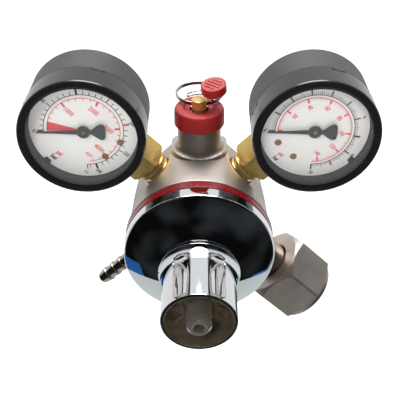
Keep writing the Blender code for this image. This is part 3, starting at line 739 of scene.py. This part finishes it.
class REGULATOR_OT_screw(bpy.types.Operator):
    """Builds the adjusting screw with its thread and hexagon socket"""

    bl_idname = "regulator.screw"
    bl_label = "Adjusting screw"

    def execute(self, context):
        low, end = back_of("adjusting_screw"), SCREW_END
        blank = lathe([(0, low), (4.2, low), (4.87, low + 0.7), (4.9, end - 1.3), (3.6, end), (0, end)], 72)
        screw = combined(threaded_rod(low, end, settings().thread_pitch), [blank], "INTERSECT")
        mouth = lathe([(0, end - 0.35), (2.2, end - 0.35), (2.75, end + 0.2), (0, end + 0.2)], 48)
        socket = prism(regular(6, 2.31), end - 4.5, end + 1)
        screw = combined(screw, [socket, mouth], "DIFFERENCE")
        piece("threaded_adjusting_screw", screw, knob_place(), bright_steel(), "screw",
              ["adjusting_screw"])  # fmt: skip
        return {"FINISHED"}


# Relief valve, pull ring and seal.


class REGULATOR_OT_relief_valve(bpy.types.Operator):
    """Builds the red cap and the brass pin"""

    bl_idname = "regulator.relief_valve"
    bl_label = "Relief valve"

    def execute(self, context):
        place = port_place(RELIEF_ANGLE)
        foot, top = CAP_FOOT, CAP_TOP
        cap = [
            (4.0, top - 2.6), (7.8, top - 2.6), (7.8, foot), (10.5, foot), (10.7, foot + 0.3),
            (10.62, top - 1.3), (10.2, top - 0.4), (9.5, top), (6.8, top), (6.2, top - 0.9), (4.0, top - 0.9),
        ]  # fmt: skip
        piece("grained_relief_cap", lathe(cap, 96, 0.25), place, cap_plastic(), "regulator_body",
              ["relief_cap"])  # fmt: skip
        pin = [
            (0, 29.1), (1.8, 29.1), (1.8, 45.0), (3.0, 46.0), (3.0, PIN_TOP - 4.3), (3.45, PIN_TOP - 3.8),
            (3.45, PIN_TOP - 0.5), (3.0, PIN_TOP), (0, PIN_TOP),
        ]  # fmt: skip
        hole = moved(lathe([(0, -6), (1.4, -6), (1.4, 6), (0, 6)], 40), Matrix.Rotation(math.pi / 2, 4, "Y"))
        drilled = combined(lathe(pin, 72, 0.15), [shifted(hole, z=RING_HEIGHT)], "DIFFERENCE")
        piece("drilled_relief_pin", drilled, place, turned_brass(), "relief_pin", ["relief_pin"])
        return {"FINISHED"}


class REGULATOR_OT_pull_ring(bpy.types.Operator):
    """Builds the split ring of two turns of wire"""

    bl_idname = "regulator.pull_ring"
    bl_label = "Pull ring"

    def execute(self, context):
        radius, thick = 9.9, settings().ring_wire
        points, steps = [], 96
        for i in range(2 * steps + 1):
            turn = i / steps
            # The wire keeps level for most of each turn, and steps up beside the split.
            rise = min(max((turn % 1.0 - 0.82) / 0.12, 0.0), 1.0) if turn < 1 else 1.0
            angle = math.tau * (turn + 0.4)
            lift = (rise - 0.5) * thick * 0.98
            depth = -PORT_HEIGHT + radius * (1 - math.cos(angle)) - 0.3
            points.append((radius * math.sin(angle), depth, RING_HEIGHT + lift))
        ring = wire(points, thick / 2)
        piece("split_pull_ring", ring, Matrix.Identity(4), spring_wire(), "pull_ring", ["pull_ring"])
        return {"FINISHED"}


def twisted(path, strand, pitch):
    """Two strands that wind round a path."""
    strands = []
    for start in (0.0, math.pi):
        travelled, points = 0.0, []
        for i, point in enumerate(path):
            ahead = path[min(i + 1, len(path) - 1)] - path[max(i - 1, 0)]
            side = ahead.cross(Vector((0.3, 0.2, 1.0))).normalized()
            other = ahead.normalized().cross(side)
            travelled += (path[i] - path[i - 1]).length if i else 0.0
            angle = start + math.tau * travelled / pitch
            points.append(point + (side * math.cos(angle) + other * math.sin(angle)) * strand * 0.55)
        strands.append(wire(points, strand / 2, sides=3))
    return joined(*strands)


class REGULATOR_OT_seal(bpy.types.Operator):
    """Builds the seal disc and its twisted wire"""

    bl_idname = "regulator.seal"
    bl_label = "Seal"

    def execute(self, context):
        low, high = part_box("seal")
        middle = (low + high) / 2 / MM
        facing = Vector((-0.12, -0.15, 0.98)).normalized()
        turned = Matrix.Translation(middle) @ facing.to_track_quat("Z", "Y").to_matrix().to_4x4()
        outline = [(0, -2.2), (4.9, -2.2), (5.35, -1.7), (5.35, 1.7), (4.9, 2.0), (4.6, 1.85), (0, 1.85)]
        ribs = []
        for half, y in ((2.4, -2.6), (3.6, -0.9), (3.6, 0.9), (2.4, 2.6)):
            ribs.append(shifted(rounded_edges(bar(half, 0.28, 1.5, 2.18), 0.1), 0, y))
        disc = moved(combined(lathe(outline, 72, 0.15), ribs, "UNION"), turned)
        piece("crimped_seal", disc, Matrix.Identity(4), seal_plastic(), "seal", ["seal"])
        route = [
            (5.6, -16.4, 57.4), (5.5, -16.6, 56.4), (5.1, -16.3, 55.2), (4.8, -14.6, 54.4),
            (4.9, -11.6, 54.2), (3.4, -9.2, 54.2), (0.6, -8.2, 54.2), (-2.6, -8.6, 54.2),
            (-4.9, -10.0, 54.3), (-4.7, -8.6, 54.8), (-2.4, -7.6, 55.3), (0.8, -8.4, 56.4),
            (2.6, -10.0, 57.5),
        ]  # fmt: skip
        strand = settings().seal_wire
        cord = twisted(smooth_path(route, 10), strand, 1.5)
        piece("twisted_seal_wire", cord, Matrix.Identity(4), spring_wire(), "seal", ["seal_wire"])
        return {"FINISHED"}


# Gauges.


def gauge_case_mesh():
    """The round case, open at the front, with a stepped wall round the dial."""
    back, rim = GAUGE_BACK, GAUGE_FRONT - 3.0
    ridges = []
    for i in range(4):
        height = rim - 0.15 - i * 0.95
        ridges += [(22.45, height), (22.45, height - 0.3), (23.05, height - 0.55)]
    profile = [
        (0, back), (24.9, back), (25.8, back + 0.9), (25.8, SEAM - 0.25), (25.5, SEAM), (23.9, SEAM),
        (23.9, rim), *ridges, (22.6, DIAL_FACE - 1.2), (24.3, DIAL_FACE - 2.4), (24.3, back + 1.8),
        (0, back + 1.8),
    ]  # fmt: skip
    return lathe(profile, 160, 0.12)


def bezel_mesh():
    """The snap-on bezel: a rolled front edge, and fine ridges down its inner lip."""
    front, back = GAUGE_FRONT, SEAM + 0.3
    lip = []
    for i in range(3):
        height = front - 0.38 - i * 0.26
        lip += [(22.55, height), (22.8, height - 0.13)]
    profile = [
        (25.7, back), (26.0, back + 0.3), (26.0, front - 1.5), (25.85, front - 0.85), (25.45, front - 0.35),
        (24.9, front - 0.08), (24.4, front), (23.5, front - 0.1), (23.0, front - 0.3),
        *lip, (22.5, front - 1.15), (24.2, front - 1.15), (24.2, back),
    ]  # fmt: skip
    return lathe(profile, 160, 0.1)


class REGULATOR_OT_gauge_cases(bpy.types.Operator):
    """Builds both gauges' cases, bezels and windows"""

    bl_idname = "regulator.gauge_cases"
    bl_label = "Gauge cases"

    def execute(self, context):
        for side in ("left", "right"):
            place = stemwise(side)
            hole = lathe([(0, -30), (5.5, -30), (5.5, -20), (0, -20)], 48)
            hole = shifted(moved(hole, Matrix.Rotation(math.radians(-90), 4, "X")), z=PORT_HEIGHT)
            case = combined(gauge_case_mesh(), [hole], "DIFFERENCE")
            piece(side + "_round_case", case, place, case_plastic(), "regulator_body",
                  [side + "_gauge_case"])  # fmt: skip
            latches = [rounded_edges(latch(turn), 0.08) for turn in (28, 118, 208, 298)]
            bezel = joined(bezel_mesh(), *latches)
            piece(side + "_snap_bezel", bezel, place, bezel_plastic(), "regulator_body",
                  [side + "_gauge_bezel"])  # fmt: skip
            low, high = back_of(side + "_gauge_window"), front_of(side + "_gauge_window")
            pane = lathe([(0, low), (23.9, low), (23.9, high), (0, high)], 96, 0.1)
            piece(side + "_clear_window", pane, place, clear_window(), "regulator_body",
                  [side + "_gauge_window"])  # fmt: skip
        return {"FINISHED"}


def latch(turn):
    """A small raised latch at the bezel's back edge."""
    block = prism([(25.2, -2.6), (26.12, -2.6), (26.12, 2.6), (25.2, 2.6)], SEAM + 0.35, SEAM + 1.5)
    return moved(block, turned_by(turn))


def print_mark(turn, inner, outer, width):
    """A radial tick at this angle, in degrees anticlockwise from three o'clock."""
    half = width / 2
    mark = prism([(inner, -half), (outer, -half), (outer, half), (inner, half)], 0, LIFT)
    return moved(mark, turned_by(turn))


def print_arc(radius, width, start, sweep, inner=None):
    """A thin printed arc, or a filled wedge, that starts at an angle and runs clockwise."""
    mesh = bmesh.new()
    near = mesh.verts.new((inner if inner is not None else radius - width / 2, 0, 0))
    far = mesh.verts.new((radius + width / 2, 0, 0))
    edge = mesh.edges.new((near, far))
    bmesh.ops.rotate(mesh, verts=[near, far], cent=(0, 0, 0), matrix=turned_by(start).to_3x3())
    bmesh.ops.spin(
        mesh, geom=[near, far, edge], cent=(0, 0, 0), axis=(0, 0, -1), angle=math.radians(sweep),
        steps=int(sweep) // 2 + 4,
    )  # fmt: skip
    return thickened(mesh, mesh.faces[:], LIFT)


def print_text(words, x, y, size, bold=0.0):
    """Printed figures, narrow and centred at a point."""
    line = bpy.data.curves.new("words", "FONT")
    line.body, line.size, line.extrude, line.offset = words, size, LIFT / 2, bold
    line.align_x, line.align_y, line.resolution_u = "CENTER", "CENTER", 2
    mesh = from_curve(line)
    mesh.transform(Matrix.Diagonal((0.78, 1, 1, 1)))
    return shifted(mesh, x, y, LIFT / 2)


# Angles on the upright dial: zero stands at the lower left and the scale ends at the lower right.
DIAL_START, DIAL_SWEEP, DIAL_TILT = 225.0, 270.0, -45.0
PSI = 14.504  # in one bar


def at_value(value, full):
    """The angle at which a value stands on the scale."""
    return DIAL_START - DIAL_SWEEP * value / full


def ticks(values, full, inner, outer, width):
    """Radial marks at these values."""
    return [print_mark(at_value(value, full), inner, outer, width) for value in values]


def figures(values, full, radius, size, scale=1.0):
    """Numbers beside the scale at these values."""
    return [label(str(value), at_value(value / scale, full), radius, size, 0.06) for value in values]


def label(words, turn, radius, size, bold=0.0):
    """Figures beside the scale, at an angle and a radius."""
    angle = math.radians(turn)
    return print_text(words, radius * math.cos(angle), radius * math.sin(angle), size, bold)


def high_dial_marks(full):
    """Black bar and red psi scales of the inlet gauge."""
    bar_line, psi_line, psi_end = 16.4, 14.9, 4500
    thousands = (1000, 2000, 3000, 4000)
    black = [print_arc(bar_line, 0.3, DIAL_START, DIAL_SWEEP)]
    black += ticks([value for value in range(10, int(full), 10) if value % 50], full, bar_line, 18.0, 0.32)
    black += ticks((50, 150, 250, full), full, bar_line, 18.7, 0.4)
    black += ticks((0, 100, 300), full, bar_line, 18.9, 0.9)
    black += figures(range(0, 301, 50), full, 20.4, 2.4)
    black.append(label("%g" % full, at_value(full, full) - 2.5, 20.2, 1.7, 0.03))
    black.append(print_text("bar", -0.6, -18.6, 3.0, 0.1))
    red = [print_arc(psi_line, 0.3, DIAL_START, DIAL_SWEEP * psi_end / PSI / full)]
    small = [value / PSI for value in range(200, 4600, 200) if value % 1000]
    red += ticks(small, full, 13.7, psi_line, 0.3)
    red += ticks([value / PSI for value in thousands], full, 12.7, psi_line, 0.9)
    red += figures(thousands, full, 10.2, 3.0, PSI)
    red.append(label(str(psi_end), at_value(psi_end / PSI, full) + 1, 11.6, 2.1, 0.03))
    red.append(print_arc(psi_line, 0.0, DIAL_START, 17.0, inner=1.5))
    red += ticks([200], full, bar_line, 19.0, 1.0)
    red.append(print_text("psi", -0.2, -15.6, 3.0, 0.1))
    return black, red


def low_dial_marks(full):
    """Black bar and red psi scales of the outlet gauge, both finely divided."""
    bar_line, psi_line = 16.3, 15.1
    black = [print_arc(bar_line, 0.28, DIAL_START, DIAL_SWEEP)]
    for tenth in range(int(full * 10) + 1):
        outer, width = (17.6, 0.22) if tenth % 5 else (18.0, 0.28)
        outer, width = (18.9, 0.6) if tenth % 10 == 0 else (outer, width)
        black += ticks([tenth / 10], full, bar_line, outer, width)
    for value in range(0, int(full) + 1, 2):
        black.append(label(str(value), at_value(value, full), 20.5, 2.5, 0.05))
    black.append(print_text("bar", -1.2, -20.2, 2.6, 0.08))
    red = [print_arc(psi_line, 0.3, DIAL_START, DIAL_SWEEP)]
    for value in range(0, int(full * PSI) + 1, 2):
        inner, width = (14.2, 0.22) if value % 10 else (13.9, 0.3)
        inner, width = (13.0, 0.75) if value % 20 == 0 else (inner, width)
        red += ticks([value / PSI], full, inner, psi_line, width)
    red += figures(range(20, 141, 20), full, 11.0, 2.7, PSI)
    red += ticks([7], full, bar_line, 19.2, 0.95)
    red.append(print_text("psi", -1.2, -17.3, 2.7, 0.08))
    return black, red


def dial_screw():
    """A slotted screw with a domed head."""
    face = DIAL_FACE
    head = [
        (0, 25.0), (0.8, 25.0), (0.8, face + 0.05), (1.5, face + 0.05), (1.45, face + 0.3),
        (1.2, face + 0.52), (0.8, face + 0.65), (0.4, face + 0.7), (0, face + 0.72),
    ]  # fmt: skip
    slot = moved(bar(1.7, 0.17, face + 0.6, face + 1), Matrix.Rotation(0.6, 4, "Z"))
    return combined(lathe(head, 40, 0.12), [slot], "DIFFERENCE")


class REGULATOR_OT_gauge_dials(bpy.types.Operator):
    """Builds both dials with their scales, screws and stops"""

    bl_idname = "regulator.gauge_dials"
    bl_label = "Gauge dials"

    def execute(self, context):
        inlet_marks = high_dial_marks(settings().high_scale)
        outlet_marks = low_dial_marks(settings().low_scale)
        scales = {"left": inlet_marks, "right": outlet_marks}
        for side, sign in (("left", 1), ("right", -1)):
            low = DIAL_FACE - 0.8
            holes = []
            for i, x in enumerate((-4.8, 4.8)):
                spot = (x + 1.6 * sign, -14.3)
                hole = lathe([(0, low - 1), (1.0, low - 1), (1.0, low + 2), (0, low + 2)], 32)
                holes.append(shifted(hole, *spot))
                name = "%s_gauge_dial_screw_%d" % (side, i + 1)
                piece(name + "_head", shifted(dial_screw(), *spot), stemwise(side), turned_brass(),
                      "regulator_body", [name])  # fmt: skip
            disc = lathe([(1.4, low), (22.3, low), (22.3, DIAL_FACE), (1.4, DIAL_FACE)], 128)
            disc = combined(disc, holes, "DIFFERENCE")
            piece(side + "_enamelled_dial", disc, stemwise(side), dial_enamel(), "regulator_body",
                  [side + "_gauge_dial"])  # fmt: skip
            for ink, marks in zip(("black", "red"), scales[side]):
                whole = shifted(joined(*marks), z=DIAL_FACE + 0.01)
                piece("%s_dial_%s_print" % (side, ink), whole, gauge_place(side, DIAL_TILT),
                      dial_ink(ink == "red"), "regulator_body")  # fmt: skip
            lump = [(-1.5, -0.7), (1.2, -0.9), (1.5, 0.5), (0.4, 1.1), (-1.3, 0.8)]
            stop = rounded_edges(prism(lump, DIAL_FACE + 0.02, DIAL_FACE + 1.1), 0.25)
            stop = shifted(moved(stop, Matrix.Rotation(math.pi / 2, 4, "Z")), -21.3 * sign, 1.9)
            piece(side + "_moulded_stop", stop, stemwise(side), bezel_plastic(), "regulator_body",
                  [side + "_gauge_stop_pin"])  # fmt: skip
        return {"FINISHED"}


class REGULATOR_OT_gauge_pointers(bpy.types.Operator):
    """Builds both pointers with their hubs and arbor ends"""

    bl_idname = "regulator.gauge_pointers"
    bl_label = "Gauge pointers"

    def execute(self, context):
        for side in ("left", "right"):
            low = DIAL_FACE + 1.05
            half = [
                (-19.6, 0.16), (-19.3, 0.3), (-10.0, 0.62), (-2.0, 1.0), (2.6, 0.85), (3.6, 1.15), (5.2, 2.5),
                (6.8, 3.5), (7.8, 3.7), (8.7, 3.1), (9.0, 1.6),
            ]  # fmt: skip
            outline = half + [(x, -y) for x, y in reversed(half)]
            blade = rounded_edges(prism(outline, low, low + 0.55), 0.16, 25.0, 3)
            hub = [
                (0, DIAL_FACE + 0.3), (2.2, DIAL_FACE + 0.3), (2.75, DIAL_FACE + 0.8), (2.75, low + 0.55),
                (2.4, low + 0.8), (1.5, low + 0.8), (1.3, low + 0.6), (0, low + 0.6),
            ]  # fmt: skip
            whole = combined(blade, [lathe(hub, 64, 0.12)], "UNION")
            piece(side + "_painted_pointer", whole, gauge_place(side), pointer_paint(), side + "_pointer",
                  [side + "_gauge_pointer"])  # fmt: skip
            tip = lathe([(0, low + 0.3), (0.5, low + 0.3), (0.5, low + 0.85), (0, low + 0.95)], 32, 0.08)
            piece(side + "_arbor_tip", tip, gauge_place(side), turned_brass(), side + "_pointer")
        return {"FINISHED"}


class REGULATOR_OT_gauge_stems(bpy.types.Operator):
    """Builds both gauges' square brass shanks and threaded stems"""

    bl_idname = "regulator.gauge_stems"
    bl_label = "Gauge stems"

    def execute(self, context):
        for side, angle, turn in (("left", LEFT_ANGLE, 30.0), ("right", RIGHT_ANGLE, -30.0)):
            square = rounded_edges(prism(regular(4, 14.0 / math.sqrt(2), turn), 31.2, 46.0), 0.25, segments=3)
            crown = lathe([(0, 30), (8.4, 30), (8.4, 31.2), (9.9, 32.4), (9.9, 47), (0, 47)], 96)
            square = combined(square, [crown], "INTERSECT")
            hollow = lathe([(0, -30), (26.15, -30), (26.15, 30), (0, 30)], 160)
            hollow = shifted(moved(hollow, Matrix.Rotation(math.radians(-90), 4, "X")), z=GAUGE_REACH)
            square = combined(square, [hollow], "DIFFERENCE")
            piece(side + "_square_shank", square, port_place(angle), milled_brass(), "regulator_body",
                  [side + "_gauge_socket"])  # fmt: skip
            stem = [
                (0, 20.0), (5.9, 20.0), (6.5, 20.8), (6.5, 27.0), (5.9, 27.5), (5.9, 28.3), (6.6, 28.5),
                (7.3, 28.9), (7.3, 30.1), (6.9, 30.5), (6.5, 30.7), (6.8, 31.3), (5.1, 31.6),
                (5.1, GAUGE_REACH - 13), (0, GAUGE_REACH - 13),
            ]  # fmt: skip
            piece(side + "_turned_stem", lathe(stem, 96, 0.25), port_place(angle), turned_brass(),
                  "regulator_body")  # fmt: skip
        return {"FINISHED"}


# Inlet and outlet.


class REGULATOR_OT_inlet(bpy.types.Operator):
    """Builds the nipple, the washer and the hexagon nut"""

    bl_idname = "regulator.inlet"
    bl_label = "Inlet"

    def execute(self, context):
        place = port_place(INLET_ANGLE)
        nipple = [
            (3.2, 17.0), (8.1, 17.0), (8.1, 26.9), (8.6, 27.1), (9.0, 27.6), (9.0, 55.2), (11.6, 55.2),
            (11.6, 60.0), (9.6, 60.0), (9.6, 62.6), (5.6, 62.6), (5.6, 56.0), (3.2, 56.0),
        ]  # fmt: skip
        piece("polished_nipple", lathe(nipple, 96, 0.2), place, ground_nickel(), "regulator_body",
              ["inlet_nipple"])  # fmt: skip
        washer = [(4.2, 62.9), (9.3, 62.9), (9.3, 64.7), (4.2, 64.7)]
        piece("sealing_washer", lathe(washer, 72, 0.25), place, ptfe(), "regulator_body",
              ["inlet_washer"])  # fmt: skip
        back, end, flats = 50.0, 75.6, 33.2
        hexagon = rounded_edges(prism(regular(6, flats / math.sqrt(3)), back, end), 0.6, segments=4)
        chamfered = [
            (0, back - 1), (15.7, back - 1), (15.9, back), (16.2, back + 0.15), (19.6, back + 3.3),
            (19.6, end - 4.4), (16.7, end - 2.7), (16.25, end - 2.4), (16.25, end - 0.4), (15.8, end),
            (15.8, end + 1), (0, end + 1),
        ]  # fmt: skip
        nut = combined(hexagon, [lathe(chamfered, 144, 0.15)], "INTERSECT")
        bore = [(0, 45), (9.9, 45), (9.9, back), (9.5, back + 0.5), (9.5, 54.6), (12.2, 54.6)]
        for i in range(10):
            low = 57.5 + i * 1.8
            bore += [(12.2, low), (12.75, low + 0.6), (12.75, low + 0.9), (12.2, low + 1.5)]
        bore += [(13.4, end - 0.3), (13.4, 80), (0, 80)]
        nut = combined(nut, [lathe(bore, 96)], "DIFFERENCE")
        piece("hexagon_inlet_nut", nut, place, blasted_nickel(), "inlet_nut", ["inlet_nut"])
        return {"FINISHED"}


class REGULATOR_OT_outlet(bpy.types.Operator):
    """Builds the barbed hose tail"""

    bl_idname = "regulator.outlet"
    bl_label = "Hose tail"

    def execute(self, context):
        ridges = []
        for i in reversed(range(settings().barbs)):
            crest = TAIL_END - 1.6 - 5.1 * i
            ridges += [(3.1, crest - 4.5), (3.12, crest - 4.0), (3.75, crest - 3.7), (3.72, crest - 3.0)]
        profile = [
            (2.0, 20.0), (5.9, 20.0), (6.5, 20.8), (6.5, 27.4), (8.3, 27.8), (8.3, 36.0), (4.4, 36.6),
            (4.4, 40.0), (3.1, 41.4), *ridges, (3.1, TAIL_END - 0.9), (2.85, TAIL_END), (2.0, TAIL_END),
        ]  # fmt: skip
        tail = lathe(profile, 80, 0.15)
        hexagon = rounded_edges(prism(regular(6, 17.0 / math.sqrt(3)), 28.2, 35.8), 0.3)
        hexagon = combined(hexagon, [lathe([(0, 20), (2.5, 20), (2.5, 40), (0, 40)], 48)], "DIFFERENCE")
        whole = combined(tail, [hexagon], "UNION")
        piece("barbed_tail", whole, port_place(OUTLET_ANGLE), ground_nickel(), "regulator_body",
              ["hose_tail"])  # fmt: skip
        return {"FINISHED"}


class REGULATOR_OT_inner_parts(bpy.types.Operator):
    """Gives the carried-over inner pieces their finishes"""

    bl_idname = "regulator.inner_parts"
    bl_label = "Inner parts"

    def execute(self, context):
        for node in ("slip_ring", "push_pin", "retaining_clip", "spring_button"):
            repaint(node, bright_steel())
        for node in ("main_spring", "valve_spring", "relief_spring"):
            repaint(node, spring_wire())
        for node in ("valve_nozzle", "diaphragm_plate", "valve_poppet", "drive_nut"):
            repaint(node, turned_brass())
        for node in ("diaphragm", "relief_poppet"):
            repaint(node, nitrile())
        repaint("inlet_filter", bronze())
        for side in ("left", "right"):
            for part in ("movement", "sector", "arbor"):
                repaint("%s_gauge_%s" % (side, part), turned_brass())
            repaint(side + "_gauge_spring_tube", bronze())
        return {"FINISHED"}


# Stage.


def studio_world():
    """Even white light. Reflections see a bright backdrop behind the part and a dark room in front of it."""
    world = bpy.data.worlds.new("studio")
    bpy.context.scene.world = world
    world.use_nodes = True
    tree = world.node_tree
    tree.nodes.clear()
    rays = add_node(tree, "ShaderNodeLightPath")
    way = add_node(tree, "ShaderNodeTexCoord").outputs["Generated"]
    split = add_node(tree, "ShaderNodeSeparateXYZ", {}, {"Vector": way})
    room = add_node(tree, "ShaderNodeValToRGB", {}, {"Fac": split.outputs["Y"]})
    stops = ((0.0, "#0B0C0D"), (0.08, "#17191B"), (0.22, "#E9ECEF"), (1.0, "#FFFFFF"))
    for position, code in stops[1:-1]:
        room.color_ramp.elements.new(position)
    for element, (position, code) in zip(room.color_ramp.elements, stops):
        element.position, element.color = position, linear(code)
    seen = add_node(tree, "ShaderNodeBackground", {"Color": (1, 1, 1, 1), "Strength": 1.0})
    even = add_node(tree, "ShaderNodeBackground", {"Color": (1, 1, 1, 1), "Strength": 0.55})
    cloud = add_node(tree, "ShaderNodeTexNoise", {"Scale": 1.6, "Detail": 1.0}, {"Vector": way})
    shade = add_node(tree, "ShaderNodeValToRGB", {}, {"Fac": cloud.outputs["Fac"]})
    for element, (position, code) in zip(shade.color_ramp.elements, ((0.4, "#000000"), (0.7, "#303335"))):
        element.position, element.color = position, linear(code)
    whole = add_node(
        tree, "ShaderNodeMixRGB", {"blend_type": "SCREEN", "Fac": 1.0},
        {"Color1": room.outputs["Color"], "Color2": shade.outputs["Color"]},
    )  # fmt: skip
    mirrored = add_node(tree, "ShaderNodeBackground", {"Strength": 1.0}, {"Color": whole.outputs["Color"]})
    lit = add_node(
        tree, "ShaderNodeMixShader", {},
        {
            "Fac": rays.outputs["Is Glossy Ray"],
            1: even.outputs["Background"],
            2: mirrored.outputs["Background"],
        },
    )  # fmt: skip
    shown = add_node(
        tree, "ShaderNodeMixShader", {},
        {"Fac": rays.outputs["Is Camera Ray"], 1: lit.outputs["Shader"], 2: seen.outputs["Background"]},
    )  # fmt: skip
    add_node(tree, "ShaderNodeOutputWorld", {}, {"Surface": shown.outputs["Shader"]})


def stage_card(name, mesh, colour, glow):
    """A card that lights or reflects in the part, and isn't part of it."""
    made = solid_object(name, mesh)
    material = bpy.data.materials.new(name + "_paper")
    material.use_nodes = True
    shader = material.node_tree.nodes["Principled BSDF"]
    shader.inputs["Base Color"].default_value = linear(colour)
    shader.inputs["Roughness"].default_value = 0.9
    shader.inputs["Specular IOR Level"].default_value = 0.0
    shader.inputs["Emission Color"].default_value = linear(colour)
    shader.inputs["Emission Strength"].default_value = glow
    made.data.materials.append(material)
    return made


def flat_ring(inner, outer, start, sweep, height):
    """A flat ring, or part of one, that starts at an angle and runs anticlockwise. Metres."""
    mesh = bmesh.new()
    ends = [mesh.verts.new((radius, 0, height)) for radius in (inner, outer)]
    edge = mesh.edges.new(ends)
    bmesh.ops.rotate(mesh, verts=ends, cent=(0, 0, 0), matrix=Matrix.Rotation(math.radians(start), 3, "Z"))
    bmesh.ops.spin(
        mesh, geom=ends + [edge], cent=(0, 0, 0), axis=(0, 0, 1), angle=math.radians(sweep), steps=48,
        use_merge=sweep == 360,
    )  # fmt: skip
    bmesh.ops.recalc_face_normals(mesh, faces=mesh.faces)
    return mesh


def soft_light(name, place, target, size, power):
    light = bpy.data.lights.new(name, "AREA")
    light.shape, light.size, light.energy = "DISK", size, power
    made = bpy.data.objects.new(name, light)
    made.location = place
    made.rotation_euler = (Vector(target) - Vector(place)).to_track_quat("-Z", "Y").to_euler()
    bpy.context.scene.collection.objects.link(made)
    return made


class REGULATOR_OT_stage(bpy.types.Operator):
    """Builds the pale floor, the soft lights and the camera"""

    bl_idname = "regulator.stage"
    bl_label = "Stage"

    def execute(self, context):
        context.scene.view_settings.view_transform = "Standard"
        studio_world()
        floor = stage_card("studio_floor", flat_ring(0.0, 4.0, 0, 360, -0.45), "#F7F7F6", 0.6)
        floor.visible_glossy = False
        cards = [
            stage_card("bounce_card", flat_ring(0.0, 0.36, 0, 360, -0.42), "#959A99", 0.85),
            stage_card("blue_cloth_left", flat_ring(0.36, 0.56, 158, 48, -0.42), "#1A4676", 0.7),
            stage_card("blue_cloth_right", flat_ring(0.36, 0.39, -30, 32, -0.42), "#1A4676", 0.9),
        ]
        for card in cards:
            card.visible_camera = card.visible_diffuse = card.visible_shadow = False
        middle = (0, -0.03, 0.01)
        soft_light("top_softbox", (0.0, 0.25, 0.75), middle, 0.6, 9.0)
        soft_light("front_softbox", (-0.25, -0.75, 0.75), middle, 0.35, 6.0).visible_glossy = False
        camera = bpy.data.cameras.new("camera")
        camera.lens, camera.sensor_width, camera.clip_start = settings().camera_lens, 36.0, 0.01
        eye = bpy.data.objects.new("camera", camera)
        eye.location = CAMERA_PLACE
        eye.rotation_euler = (math.radians(CAMERA_TILT), 0, 0)
        bpy.context.scene.collection.objects.link(eye)
        bpy.context.scene.camera = eye
        return {"FINISHED"}


OPERATORS = (
    REGULATOR_OT_stage,
    REGULATOR_OT_body,
    REGULATOR_OT_colour_ring,
    REGULATOR_OT_bonnet,
    REGULATOR_OT_knob,
    REGULATOR_OT_screw,
    REGULATOR_OT_relief_valve,
    REGULATOR_OT_pull_ring,
    REGULATOR_OT_seal,
    REGULATOR_OT_gauge_cases,
    REGULATOR_OT_gauge_dials,
    REGULATOR_OT_gauge_pointers,
    REGULATOR_OT_gauge_stems,
    REGULATOR_OT_inlet,
    REGULATOR_OT_outlet,
    REGULATOR_OT_inner_parts,
)


class REGULATOR_PT_panel(bpy.types.Panel):
    """Lists the settings and the pieces"""

    bl_label = "Gas regulator"
    bl_space_type = "VIEW_3D"
    bl_region_type = "UI"
    bl_category = "Regulator"

    def draw(self, context):
        for name in RegulatorSettings.__annotations__:
            self.layout.prop(context.scene.regulator, name)
        for operator in OPERATORS:
            self.layout.operator(operator.bl_idname)


CLASSES = (RegulatorSettings, *OPERATORS, REGULATOR_PT_panel)


def register():
    for item in CLASSES:
        bpy.utils.register_class(item)
    bpy.types.Scene.regulator = bpy.props.PointerProperty(type=RegulatorSettings)


def unregister():
    del bpy.types.Scene.regulator
    for item in reversed(CLASSES):
        bpy.utils.unregister_class(item)


def main():
    register()
    for operator in OPERATORS:
        group, name = operator.bl_idname.split(".")
        getattr(getattr(bpy.ops, group), name)()


if __name__ == "__main__":
    main()
